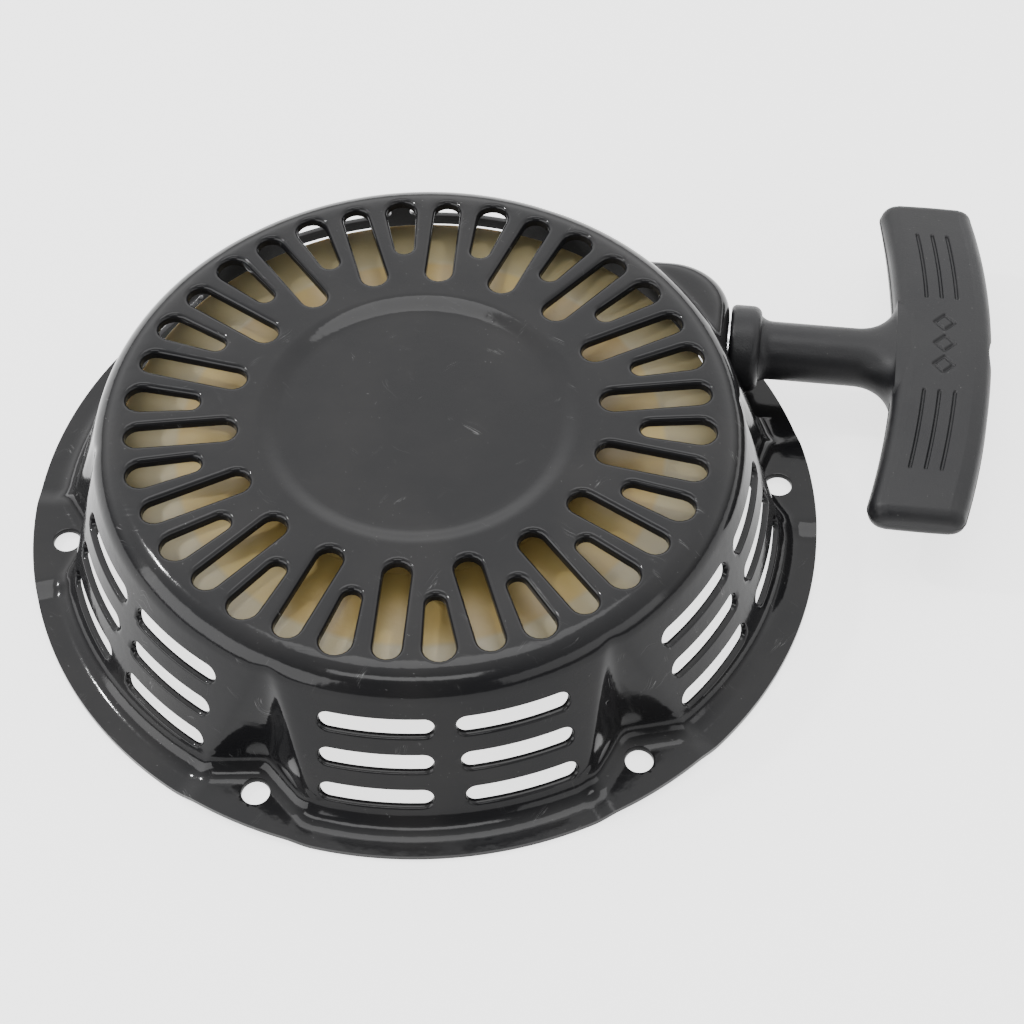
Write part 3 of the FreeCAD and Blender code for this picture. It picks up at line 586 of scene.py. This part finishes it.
def build_housing(material, inside):
    """The pressed cover; its inner skin has the material inside."""
    skin, rim, lips = build_skin()
    verts, faces = closed_sheet(skin, [rim] + lips)
    obj = mesh_object("cover_pressing", verts, faces, material)
    obj.data.materials.append(inside)
    for face in obj.data.polygons[len(skin.faces):2 * len(skin.faces)]:
        face.material_index = 1
    face_outwards(obj)
    cutters = []
    for panel in range(1, 6):
        middle = FIRST_BOLT + 30 + 60 * panel
        for side in (-LOUVRE_ANGLE, LOUVRE_ANGLE):
            for row in range(3):
                cutters.append(wrapped_slot(middle + side, LOUVRE_TOP - LOUVRE_PITCH * row))
    pad = GAUGE + PAD_LIFT
    for k in range(6):
        a = math.radians(FIRST_BOLT + 60 * k)
        place = Matrix.Translation((BOLT_R * math.cos(a), BOLT_R * math.sin(a), 0))
        cutters.append(turned_cutter([
            (BOLT_HOLE, -4), (BOLT_HOLE, pad - 0.35), (BOLT_HOLE + 0.12, pad - 0.1),
            (BOLT_HOLE + 0.4, pad + 0.03), (BOLT_HOLE + 0.4, pad + 3)
        ], place))
    cutters.append(turned_cutter([(EYELET_R, -6), (EYELET_R, 6)], along_x(OUT_X)))
    subtract(obj, cutters)
    sharpen(obj, 38)
    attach(obj, "case")
    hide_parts("housing")


# ---------------------------------------------------------------------------------------------
# the T grip
GRIP_IN, GRIP_OUT, GRIP_ARC, GRIP_CROWN = 127.2, 154.3, 266.0, 376.0
GRIP_HALF, GRIP_THICK = 58.6, 9.0
GRIP_EDGE, GRIP_SWELL = 4.9, 0.35
CORNER_IN, CORNER_OUT, END_ROUND = 5.6, 2.4, 3.4
PARTING = (0.42, 0.2, 0.0, -0.2, -0.42)
N_BAR_TOP, N_BAR_UNDER = 74, 40
NOSE_X, NOSE_R, STEM_R = 80.4, 12.2, 8.3
FILLET_X, FILLET = 116.2, 11.0


def bowed(y):
    """How far the bar's ends are swept back at y."""
    return GRIP_ARC - math.sqrt(GRIP_ARC ** 2 - y * y)


def rounded_end(y, radius):
    """How far a corner of that radius at the bar's end pulls the outline in at y."""
    past = min(radius, max(0.0, abs(y) - (GRIP_HALF - radius)))
    return radius - math.sqrt(radius ** 2 - past ** 2)


def engraved_strokes():
    """Ends of the engraved strokes: u across the bar from its inner edge, y along it."""
    strokes = []
    for side in (1, -1):
        for u in (8.6, 12.9, 17.2):
            strokes.append((u, side * 17.5, u, side * 43.5))
    for y in (-7.8, 0.0, 7.8):
        corners = [(10.6, y), (13.4, y - 2.8), (16.2, y), (13.4, y + 2.8)]
        strokes += [(*p, *q) for p, q in zip(corners, corners[1:] + corners[:1])]
    return strokes


def groove(u, y, strokes):
    """Depth of the engraving at points u, y of the bar's top, in millimetres."""
    near = np.full(u.shape, 9.0)
    for u0, y0, u1, y1 in strokes:
        du, dy = u1 - u0, y1 - y0
        t = np.clip(((u - u0) * du + (y - y0) * dy) / (du * du + dy * dy), 0, 1)
        near = np.minimum(near, np.hypot(u - u0 - t * du, y - y0 - t * dy))
    return 0.6 * (1 - step_up(near, 0.22, 0.62))


def quarter_turn(u, v, first, radius):
    """Points inside a quarter circle about (u, v) that runs clockwise from the angle first."""
    turns = [first - math.pi / 2 * k / 14 for k in range(1, 14)]
    return [(u + radius * math.cos(a), v + radius * math.sin(a)) for a in turns]


def parting_side(side, half, straight):
    """One side of the bar's section, with the mould's parting ridge at its middle."""
    return [(side * (half + (0.22 if level == 0.0 else 0.0)), side * level * straight)
            for level in PARTING]


def bar_mesh():
    """The bar as sections along y, each from the top's inner edge round to it again."""
    strokes = engraved_strokes()
    ends = [GRIP_HALF - CORNER_IN * (1 - math.sin(a)) for a in np.linspace(0, math.pi / 2, 26)]
    middle = list(np.arange(-GRIP_HALF + 5.9, GRIP_HALF - 5.8, 0.32))
    stations = [-y for y in reversed(ends)] + middle + ends
    flat = np.linspace(0, 1, N_BAR_TOP)
    rings = []
    for y in stations:
        inner, outer, rounding = (rounded_end(y, r) for r in (CORNER_IN, CORNER_OUT, END_ROUND))
        tall = GRIP_THICK - (GRIP_CROWN - math.sqrt(GRIP_CROWN ** 2 - y * y)) - rounding
        half = (GRIP_OUT - GRIP_IN - inner - outer) / 2
        edge = min(GRIP_EDGE, tall * 0.96)
        centre = (GRIP_IN + GRIP_OUT + inner - outer) / 2 - bowed(y)
        straight = min(1.0, (tall - edge) + 0.3)
        points = []
        for k in range(N_BAR_TOP):
            u = -half + edge + (2 * half - 2 * edge) * flat[k]
            points.append((u, tall + GRIP_SWELL * (1 - (u / half) ** 2)))
        points += quarter_turn(half - edge, tall - edge, math.pi / 2, edge)
        points += parting_side(1, half, straight)
        points += quarter_turn(half - edge, -tall + edge, 0.0, edge)
        for k in range(N_BAR_UNDER):
            u = half - edge - (2 * half - 2 * edge) * k / (N_BAR_UNDER - 1)
            points.append((u, -tall - GRIP_SWELL * (1 - (u / half) ** 2)))
        points += quarter_turn(-half + edge, -tall + edge, -math.pi / 2, edge)
        points += parting_side(-1, half, straight)
        points += quarter_turn(-half + edge, tall - edge, math.pi, edge)
        ring = np.array(points)
        cut = np.zeros(len(ring))
        across = ring[:N_BAR_TOP, 0] + (GRIP_OUT - GRIP_IN + inner - outer) / 2
        cut[:N_BAR_TOP] = groove(across, np.full(N_BAR_TOP, y), strokes)
        rings.append(np.stack([centre + ring[:, 0], np.full(len(ring), y + ROPE_Y),
                               ROPE_Z + ring[:, 1] - cut], 1))
    return np.concatenate(rings), solid_faces(len(rings), len(rings[0]))


# rounds of the nose's front and back, the part of it that is straight, the neck behind it with
# its length and rise, the straight stem, and the stem's root inside the bar
NOSE_FRONT, NOSE_BACK = 1.6, 2.6
NOSE_FLAT = (82.6, 86.6)
NECK_X, NECK_LENGTH, NECK_RISE = 93.2, 4.0, 1.3
STEM_SPAN = (94.5, 115.8)
STEM_SWELL, STEM_SQUARE, STEM_SIDES = 0.6, 0.35, 96
ROOT_X, ROOT_END = 131.0, 135.0


def stem_mesh():
    """Nose, neck, stem and the fillets where it spreads into the bar."""
    profile = []  # x, radius up and down, extra half width along the bar
    for a in np.linspace(0, math.pi / 2, 7):
        profile.append((NOSE_X + NOSE_FRONT * (1 - math.cos(a)),
                        NOSE_R - NOSE_FRONT + NOSE_FRONT * math.sin(a), 0))
    for x in np.linspace(*NOSE_FLAT, 5):
        profile.append((x, NOSE_R, 0))
    for a in np.linspace(0, math.pi / 2, 8)[1:]:
        profile.append((NOSE_FLAT[1] + NOSE_BACK * math.sin(a),
                        NOSE_R - NOSE_BACK + NOSE_BACK * math.cos(a), 0))
    for a in np.linspace(math.pi / 2, 0, 8)[1:]:
        profile.append((NECK_X - NECK_LENGTH * math.sin(a),
                        STEM_R + NECK_RISE * math.sin(a) ** 3, 0))
    for x in np.linspace(*STEM_SPAN, 24):
        profile.append((x, STEM_R, 0))
    for a in np.linspace(0, math.pi / 2, 18)[1:]:
        spread = 1 - math.cos(a)
        profile.append((FILLET_X + FILLET * math.sin(a), STEM_R + STEM_SWELL * spread,
                        FILLET * spread))
    profile.append((ROOT_X, STEM_R + STEM_SWELL, FILLET))
    profile.append((ROOT_END, STEM_R + 0.2, FILLET - 2))
    verts = []
    for x, r, wide in profile:
        power = 1.0 - STEM_SQUARE * min(1.0, wide / FILLET)
        for k in range(STEM_SIDES):
            a = 2 * math.pi * k / STEM_SIDES
            c, s = math.cos(a), math.sin(a)
            cy = math.copysign(abs(c) ** power, c)
            sz = math.copysign(abs(s) ** power, s)
            verts.append((x, ROPE_Y + (r + wide) * cy, ROPE_Z + r * sz))
    return verts, solid_faces(len(profile), STEM_SIDES)


def build_grip(material):
    bar = mesh_object("pull_grip", *bar_mesh(), material)
    stem = mesh_object("grip_stem", *stem_mesh(), None)
    face_outwards(bar)
    face_outwards(stem)
    combine(bar, stem, "UNION")
    bore = turned_cutter([(3.15, 0), (3.15, 62)], along_x(78.0))
    mouth = turned_cutter([(8.9, 0), (8.9, 1.0), (8.2, 1.9), (8.2, 4.4)], along_x(78.9))
    pocket = turned_cutter([(7.0, 0), (7.0, 14.2), (7.5, 15.0), (7.5, 22.0)], along_x(139.3))
    for cutter in (bore, mouth, pocket):
        subtract(bar, [cutter])
    sharpen(bar, 40)
    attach(bar, "handle")
    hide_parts("grip")


# ---------------------------------------------------------------------------------------------
# rope pieces
ROPE_R, ROPE_SIDES, ROPE_POINTS = 2.75, 20, 120
ROPE_END, KNOT_X = 141.3, 146.5
WOUND_R = 2.7
OUTER_LAYER = {"radius": 49.7, "first": 90, "step": 3, "count": 260, "low": 19.5, "rise": 7.0}
INNER_LAYER = {"radius": 46.9, "first": 200, "step": 3.1, "count": 300, "low": 19.3, "rise": 7.3}
KNOT_ROPE_R, KNOT_DEPTH, KNOT_SIZE = 2.05, 2.2, 0.98


def tube(name, path, radius, material, closed=False):
    """A closed tube along points in millimetres, with texture coordinates in its UV map."""
    path = np.asarray(path, float)
    n = len(path)
    tangent = np.gradient(path, axis=0)
    if closed:
        tangent = np.roll(path, -1, 0) - np.roll(path, 1, 0)
    tangent /= np.linalg.norm(tangent, axis=1)[:, None]
    up = np.cross(tangent[0], (0.3, 0.2, 1.0))
    verts = []
    for p, t in zip(path, tangent):
        up = up - t * np.dot(up, t)
        up /= np.linalg.norm(up)
        side = np.cross(t, up)
        for k in range(ROPE_SIDES):
            a = 2 * math.pi * k / ROPE_SIDES
            verts.append(p + radius * (math.cos(a) * up + math.sin(a) * side))
    faces = side_faces(n, ROPE_SIDES, True) if closed else solid_faces(n, ROPE_SIDES)
    obj = mesh_object(name, verts, faces, material)
    face_outwards(obj)
    gap = np.linalg.norm(np.diff(path, axis=0), axis=1)
    far = np.concatenate([[0], np.cumsum(gap)])
    layer = obj.data.uv_layers.new(name="along")
    for poly in obj.data.polygons:
        for corner, vert in zip(poly.loop_indices, poly.vertices):
            k, i = divmod(vert, ROPE_SIDES)
            around = i / ROPE_SIDES
            if around == 0 and max(v % ROPE_SIDES for v in poly.vertices) == ROPE_SIDES - 1:
                around = 1.0
            length = far[k]
            if closed and k == 0 and max(v // ROPE_SIDES for v in poly.vertices) == n - 1:
                length = far[-1] + np.linalg.norm(path[0] - path[-1])
            layer.data[corner].uv = (length * 0.1, around)
    return obj


def winding(radius, first, step, count, low, rise):
    """Points of a layer of rope on the drum; angles in degrees."""
    points = []
    for k in range(count):
        a = math.radians(first + step * k)
        points.append((radius * math.cos(a), radius * math.sin(a), low + rise * k / (count - 1)))
    return points


def build_rope(material):
    """The rope's run to the grip, its two layers on the drum and the knot in the grip."""
    path = [(x, ROPE_Y, ROPE_Z) for x in np.linspace(0, ROPE_END, ROPE_POINTS)]
    run = tube("pull_rope_run", path, ROPE_R, material)
    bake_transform(run)
    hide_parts("rope_run")
    outer = tube("wound_rope", winding(**OUTER_LAYER), WOUND_R, material)
    inner = tube("wound_rope_inner", winding(**INNER_LAYER), WOUND_R, material)
    for obj in (outer, inner):
        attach(obj, "reel")
    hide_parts("rope_winding")
    t = np.linspace(0, 2 * math.pi, ROPE_POINTS, endpoint=False)
    knot = np.stack([0.55 * np.sin(3 * t) * KNOT_DEPTH,
                     (np.sin(t) + 2 * np.sin(2 * t)) * KNOT_SIZE,
                     (np.cos(t) - 2 * np.cos(2 * t)) * KNOT_SIZE], 1)
    tied = tube("grip_knot", knot + np.array([KNOT_X, ROPE_Y, ROPE_Z]), KNOT_ROPE_R, material,
                closed=True)
    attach(tied, "handle")
    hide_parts("rope_knot_grip")


# ---------------------------------------------------------------------------------------------
# materials: every one has its own grain, wear and dirt
def shader(name, base, rough, metallic=0.0):
    mat = bpy.data.materials.new(name)
    mat.use_nodes = True
    tree = mat.node_tree
    bsdf = tree.nodes["Principled BSDF"]
    bsdf.inputs["Base Color"].default_value = (*base, 1)
    bsdf.inputs["Roughness"].default_value = rough
    bsdf.inputs["Metallic"].default_value = metallic
    coords = tree.nodes.new("ShaderNodeTexCoord")
    return mat, tree, bsdf, coords


def noise(tree, source, scale, detail, rough=0.5, stretch=None):
    node = tree.nodes.new("ShaderNodeTexNoise")
    node.inputs["Scale"].default_value = scale
    node.inputs["Detail"].default_value = detail
    node.inputs["Roughness"].default_value = rough
    if stretch:
        shape = tree.nodes.new("ShaderNodeMapping")
        shape.inputs["Scale"].default_value = stretch
        tree.links.new(source, shape.inputs["Vector"])
        source = shape.outputs["Vector"]
    tree.links.new(source, node.inputs["Vector"])
    return node.outputs["Fac"]


def remap(tree, value, low, high, to_low, to_high):
    node = tree.nodes.new("ShaderNodeMapRange")
    for name, number in (("From Min", low), ("From Max", high), ("To Min", to_low),
                         ("To Max", to_high)):
        node.inputs[name].default_value = number
    tree.links.new(value, node.inputs["Value"])
    return node.outputs["Result"]


def blend_colour(tree, share, one, two):
    node = tree.nodes.new("ShaderNodeMix")
    node.data_type = "RGBA"
    tree.links.new(share, node.inputs["Factor"])
    for socket, colour in (("A", one), ("B", two)):
        target = [i for i in node.inputs if i.name == socket and i.type == "RGBA"][0]
        if isinstance(colour, tuple):
            target.default_value = (*colour, 1)
        else:
            tree.links.new(colour, target)
    return [o for o in node.outputs if o.type == "RGBA"][0]


def add_values(tree, a, b, kind="ADD"):
    node = tree.nodes.new("ShaderNodeMath")
    node.operation = kind
    for socket, value in zip(node.inputs, (a, b)):
        if isinstance(value, float):
            socket.default_value = value
        else:
            tree.links.new(value, socket)
    return node.outputs["Value"]


def bump(tree, bsdf, height, strength, distance):
    node = tree.nodes.new("ShaderNodeBump")
    node.inputs["Strength"].default_value = strength
    node.inputs["Distance"].default_value = distance
    tree.links.new(height, node.inputs["Height"])
    tree.links.new(node.outputs["Normal"], bsdf.inputs["Normal"])


def hairlines(tree, source, turn, seed):
    """Share of the surface under short fine scratches that run one way, with gaps."""
    place = tree.nodes.new("ShaderNodeMapping")
    place.inputs["Rotation"].default_value = (0, 0, turn)
    place.inputs["Location"].default_value = (seed, seed, 0)
    tree.links.new(source, place.inputs["Vector"])
    wander = tree.nodes.new("ShaderNodeTexNoise")
    wander.inputs["Scale"].default_value = 110
    wander.inputs["Detail"].default_value = 1.0
    tree.links.new(place.outputs["Vector"], wander.inputs["Vector"])
    shift = tree.nodes.new("ShaderNodeVectorMath")
    shift.operation = "MULTIPLY_ADD"
    shift.inputs[1].default_value = (0.004, 0.004, 0.004)
    tree.links.new(wander.outputs["Color"], shift.inputs[0])
    tree.links.new(place.outputs["Vector"], shift.inputs[2])
    bent = shift.outputs["Vector"]
    lines = noise(tree, bent, 34, 1.0, 0.3, (1.6, 50.0, 1.0))
    ridge = add_values(tree, add_values(tree, lines, 0.5, "SUBTRACT"), 0.0, "ABSOLUTE")
    thin = remap(tree, ridge, 0.004, 0.012, 1.0, 0.0)
    gaps = remap(tree, noise(tree, bent, 150, 1.0, 0.5, (0.6, 1.3, 1.0)), 0.69, 0.76, 0.0, 1.0)
    return add_values(tree, thin, gaps, "MULTIPLY")


def black_enamel():
    """Gloss paint with orange peel, dust and three sets of hairline scratches."""
    mat, tree, bsdf, coords = shader("gloss_black_enamel", (0.005, 0.005, 0.0055), 0.10)
    bsdf.inputs["Specular IOR Level"].default_value = 0.125
    at = coords.outputs["Object"]
    dust = remap(tree, noise(tree, at, 1100, 2.0, 0.6), 0.72, 0.76, 0.0, 1.0)
    patch = remap(tree, noise(tree, at, 38, 4.0), 0.42, 0.66, 0.0, 1.0)
    dusty = add_values(tree, dust, patch, "MULTIPLY")
    tone = blend_colour(tree, patch, (0.0042, 0.0042, 0.0046), (0.0062, 0.0060, 0.0062))
    colour = blend_colour(tree, dusty, tone, (0.06, 0.06, 0.06))
    for turn, seed in ((0.5, 0.0), (2.2, 3.0), (3.9, 7.0)):
        colour = blend_colour(tree, hairlines(tree, at, turn, seed), colour, (0.048, 0.048, 0.048))
    tree.links.new(colour, bsdf.inputs["Base Color"])
    scratches = remap(tree, noise(tree, at, 55, 2.0, 0.4, (1.0, 22.0, 1.0)), 0.66, 0.74, 0.0, 1.0)
    haze = remap(tree, noise(tree, at, 21, 5.0, 0.6), 0.3, 0.75, 0.07, 0.14)
    rough = add_values(tree, haze, add_values(tree, scratches, 0.10, "MULTIPLY"))
    tree.links.new(rough, bsdf.inputs["Roughness"])
    peel = noise(tree, at, 420, 2.0, 0.4)
    bump(tree, bsdf, peel, 0.055, 0.0006)
    return mat


def matt_primer():
    """The thin flat paint on the inner side of the cover, dusty from the fan's air."""
    mat, tree, bsdf, coords = shader("matt_black_inside", (0.006, 0.006, 0.006), 0.7)
    bsdf.inputs["Specular IOR Level"].default_value = 0.04
    at = coords.outputs["Object"]
    cloud = noise(tree, at, 45, 5.0, 0.6)
    dust = remap(tree, noise(tree, at, 1400, 2.0), 0.62, 0.78, 0.0, 0.6)
    tone = blend_colour(tree, remap(tree, cloud, 0.35, 0.7, 0, 1), (0.0035, 0.0035, 0.0038),
                        (0.0080, 0.0078, 0.0074))
    tree.links.new(blend_colour(tree, dust, tone, (0.028, 0.026, 0.023)),
                   bsdf.inputs["Base Color"])
    tree.links.new(remap(tree, cloud, 0.3, 0.75, 0.6, 0.8), bsdf.inputs["Roughness"])
    bump(tree, bsdf, noise(tree, at, 800, 3.0), 0.12, 0.0004)
    return mat


def grip_plastic():
    mat, tree, bsdf, coords = shader("black_moulded_grip", (0.007, 0.007, 0.0075), 0.42)
    bsdf.inputs["Specular IOR Level"].default_value = 0.15
    at = coords.outputs["Object"]
    cloud = noise(tree, at, 60, 4.0)
    specks = remap(tree, noise(tree, at, 1500, 2.0), 0.72, 0.80, 0.0, 1.0)
    tone = blend_colour(tree, remap(tree, cloud, 0.35, 0.7, 0, 1), (0.0036, 0.0036, 0.0042),
                        (0.0060, 0.0060, 0.0064))
    colour = blend_colour(tree, specks, tone, (0.045, 0.045, 0.043))
    tree.links.new(colour, bsdf.inputs["Base Color"])
    tree.links.new(remap(tree, cloud, 0.3, 0.75, 0.36, 0.50), bsdf.inputs["Roughness"])
    grain = add_values(tree, noise(tree, at, 1900, 3.0, 0.6), noise(tree, at, 240, 2.0))
    bump(tree, bsdf, grain, 0.16, 0.0004)
    return mat


def nylon():
    """Unfilled nylon, darkened with painted shade, flow marked and a little greyer on the flange's
    outer rim.
    """
    mat, tree, bsdf, coords = shader("natural_nylon", (0.50, 0.40, 0.22), 0.42)
    at = coords.outputs["Object"]
    cloud = noise(tree, at, 34, 4.0)
    flow = noise(tree, at, 26, 3.0, 0.5, (1.0, 1.0, 6.0))
    # painted shade: these tones, and the flow and rim colours below, are far darker than cream
    # nylon and stand in for the shade under the cover
    tone = blend_colour(tree, remap(tree, cloud, 0.3, 0.72, 0, 1), (0.130, 0.086, 0.022),
                        (0.195, 0.147, 0.047))
    worn = blend_colour(tree, remap(tree, flow, 0.55, 0.8, 0, 0.5), tone, (0.105, 0.064, 0.017))
    flat = tree.nodes.new("ShaderNodeVectorMath")
    flat.operation = "MULTIPLY"
    flat.inputs[1].default_value = (1, 1, 0)
    span = tree.nodes.new("ShaderNodeVectorMath")
    span.operation = "LENGTH"
    tree.links.new(at, flat.inputs[0])
    tree.links.new(flat.outputs["Vector"], span.inputs[0])
    rim = remap(tree, span.outputs["Value"], 0.0655, 0.0668, 0.0, 1.0)
    colour = blend_colour(tree, rim, worn, (0.142, 0.119, 0.062))
    tree.links.new(colour, bsdf.inputs["Base Color"])
    bsdf.inputs["Subsurface Weight"].default_value = 0.35
    bsdf.inputs["Subsurface Radius"].default_value = (0.006, 0.0045, 0.003)
    bsdf.inputs["Subsurface Scale"].default_value = 0.8
    tree.links.new(remap(tree, cloud, 0.3, 0.75, 0.34, 0.52), bsdf.inputs["Roughness"])
    bump(tree, bsdf, noise(tree, at, 900, 3.0), 0.1, 0.0004)
    return mat


def steel(name, low, high, rough, grain=700.0, tint=(0.5, 0.4, 0.26)):
    """Turned or rolled steel with fine lines, stains and a little tarnish."""
    mat, tree, bsdf, coords = shader(name, low, rough, metallic=1.0)
    at = coords.outputs["Object"]
    lines = noise(tree, at, grain, 2.0, 0.5, (1.0, 1.0, 9.0))
    cloud = noise(tree, at, 90, 4.0, 0.6)
    tone = blend_colour(tree, remap(tree, cloud, 0.3, 0.7, 0, 1), low, high)
    colour = blend_colour(tree, remap(tree, noise(tree, at, 210, 4.0), 0.62, 0.78, 0.0, 0.7),
                          tone, tint)
    tree.links.new(colour, bsdf.inputs["Base Color"])
    tree.links.new(remap(tree, lines, 0.3, 0.7, rough - 0.08, rough + 0.12),
                   bsdf.inputs["Roughness"])
    bump(tree, bsdf, lines, 0.12, 0.0003)
    return mat


def rope_fabric():
    """Two crossing sets of braided strands with painted shade in the grooves between them, soiled
    in patches.
    """
    mat, tree, bsdf, coords = shader("braided_nylon_rope", (0.74, 0.72, 0.66), 0.75)
    at = coords.outputs["UV"]
    height = None
    for sign in (1.0, -1.0):
        shape = tree.nodes.new("ShaderNodeMapping")
        shape.inputs["Rotation"].default_value = (0, 0, sign * 0.95)
        shape.inputs["Scale"].default_value = (2.4, 8.0, 1.0)
        tree.links.new(at, shape.inputs["Vector"])
        wave = tree.nodes.new("ShaderNodeTexWave")
        wave.inputs["Scale"].default_value = 1.6
        wave.inputs["Distortion"].default_value = 0.6
        tree.links.new(shape.outputs["Vector"], wave.inputs["Vector"])
        height = wave.outputs["Fac"] if height is None else add_values(
            tree, height, wave.outputs["Fac"], "MAXIMUM")
    soil = noise(tree, coords.outputs["Object"], 120, 4.0)
    # painted shade: the colour darkens where the strands' height is low, in the grooves between
    # them
    tone = blend_colour(tree, height, (0.42, 0.41, 0.37), (0.78, 0.76, 0.70))
    colour = blend_colour(tree, remap(tree, soil, 0.5, 0.8, 0, 0.6), tone, (0.36, 0.33, 0.27))
    tree.links.new(colour, bsdf.inputs["Base Color"])
    tree.links.new(remap(tree, soil, 0.3, 0.7, 0.68, 0.85), bsdf.inputs["Roughness"])
    bump(tree, bsdf, height, 0.6, 0.0004)
    return mat


ENAMEL = black_enamel()
PRIMER = matt_primer()
GRIP = grip_plastic()
NYLON_WITH_PAINTED_SHADE = nylon()
ROPE = rope_fabric()
ZINC = steel("zinc_plated_steel", (0.52, 0.53, 0.55), (0.66, 0.67, 0.68), 0.32)
GOLD_ZINC = steel("yellow_zinc_guide", (0.56, 0.50, 0.34), (0.70, 0.62, 0.42), 0.34, 500.0,
                  (0.42, 0.36, 0.44))
SPRING = steel("spring_steel", (0.16, 0.165, 0.18), (0.28, 0.28, 0.29), 0.30, 900.0,
               (0.10, 0.08, 0.07))
PAWL = steel("sintered_pawl_steel", (0.30, 0.30, 0.31), (0.42, 0.42, 0.42), 0.42, 1200.0,
             (0.22, 0.17, 0.12))
EYELET = steel("bright_eyelet", (0.66, 0.67, 0.69), (0.78, 0.78, 0.80), 0.18, 600.0)

CAD_FINISH = {
    "post_plate": ENAMEL, "reel_post": ZINC, "rope_eyelet": EYELET, "reel": NYLON_WITH_PAINTED_SHADE,
    "recoil_spring": SPRING, "rope_knot_reel": ROPE, "grip_washer": ZINC, "pawl_1": PAWL,
    "pawl_2": PAWL, "pawl_spring_1": SPRING, "pawl_spring_2": SPRING,
    "ratchet_guide": GOLD_ZINC, "friction_spring": SPRING, "thrust_washer": ZINC,
    "centre_bolt": ZINC, "housing": ENAMEL, "grip": GRIP, "rope_run": ROPE,
    "rope_winding": ROPE, "rope_knot_grip": ROPE,
}
for node_name, finish in CAD_FINISH.items():
    node_object = NODES[node_name]
    if not node_object.data.materials:
        node_object.data.materials.append(finish)
    for place in node_object.material_slots:
        place.link = "OBJECT"
        place.material = finish

build_housing(ENAMEL, PRIMER)
build_grip(GRIP)
build_rope(ROPE)

# ---------------------------------------------------------------------------------------------
# floor, light and camera
AZIMUTH = math.radians(7.7)
ELEVATION = math.radians(52.595)
ROLL = -0.0183
UNIT = 1.0046 * MM
DISTANCE = 708.27
TARGET = Vector((24.244, 1.547, 0.0))
LENS, SENSOR = 88.78711, 36.0


def place_camera():
    """The camera stands at the photographer's place and looks the same way."""
    spin = Matrix.Rotation(AZIMUTH, 3, "Z")
    c, s = math.cos(ELEVATION), math.sin(ELEVATION)
    right, up, forward = Vector((1, 0, 0)), Vector((0, s, c)), Vector((0, c, -s))
    across = math.cos(ROLL) * right + math.sin(ROLL) * up
    above = -math.sin(ROLL) * right + math.cos(ROLL) * up
    data = bpy.data.cameras.new("photo_camera")
    data.sensor_width = SENSOR
    data.lens = LENS
    data.clip_start, data.clip_end = 0.01, 20
    camera = bpy.data.objects.new("photo_camera", data)
    bpy.context.scene.collection.objects.link(camera)
    frame_axes = Matrix((spin @ across, spin @ above, spin @ -forward)).transposed()
    where = spin @ ((TARGET - DISTANCE * forward) * UNIT)
    camera.matrix_world = Matrix.Translation(where) @ frame_axes.to_4x4()
    bpy.context.scene.camera = camera


def studio_floor():
    reach, level = 15000, -0.3
    corners = [(-reach, -reach, level), (reach, -reach, level), (reach, reach, level),
               (-reach, reach, level)]
    obj = mesh_object("studio_floor", corners, [(0, 1, 2, 3)], None, smooth=False)
    mat, _, bsdf, _ = shader("pale_floor", (0.27, 0.27, 0.27), 0.9)
    bsdf.inputs["Specular IOR Level"].default_value = 0.1
    bsdf.inputs["Emission Color"].default_value = (1, 1, 1, 1)
    bsdf.inputs["Emission Strength"].default_value = 2.1
    obj.data.materials.append(mat)


def area_light(name, where, aim, size_m, power):
    data = bpy.data.lights.new(name, "AREA")
    data.shape = "RECTANGLE"
    data.size, data.size_y = size_m
    data.energy = power
    obj = bpy.data.objects.new(name, data)
    obj.location = where
    obj.rotation_euler = (Vector(aim) - Vector(where)).to_track_quat("-Z", "Y").to_euler()
    bpy.context.scene.collection.objects.link(obj)


def studio_world():
    """A big soft light behind and above the object, fading to dark behind the camera."""
    world = bpy.data.worlds.new("studio")
    world.use_nodes = True
    tree = world.node_tree
    coords = tree.nodes.new("ShaderNodeTexCoord")
    split = tree.nodes.new("ShaderNodeSeparateXYZ")
    tree.links.new(coords.outputs["Generated"], split.inputs["Vector"])
    behind = remap(tree, split.outputs["Y"], -0.75, 0.35, 0.0, 1.0)
    above = remap(tree, split.outputs["Z"], 0.0, 0.35, 0.0, 1.0)
    strength = remap(tree, add_values(tree, behind, above, "MULTIPLY"), 0.0, 1.0, 0.35, 4.4)
    sky = tree.nodes["Background"]
    sky.inputs["Color"].default_value = (1, 1, 1, 1)
    tree.links.new(strength, sky.inputs["Strength"])
    return world


place_camera()
studio_floor()
bpy.context.scene.world = studio_world()
area_light("overhead", (0.02, 0.36, 2.3), (0, 0, 0), (1.45, 0.9), 27)
area_light("front_soft", (0.0, -1.15, 1.7), (0, 0, 0), (1.2, 0.35), 15)
area_light("left_window", (-1.2, -0.95, 0.62), (0, 0, 0.02), (1.9, 0.9), 44)
area_light("right_window", (1.25, -0.85, 0.6), (0, 0, 0.02), (1.5, 0.6), 11)
area_light("hard_lamp", (-1.1, 0.3, 1.4), (0, 0, 0.02), (0.09, 0.09), 26)
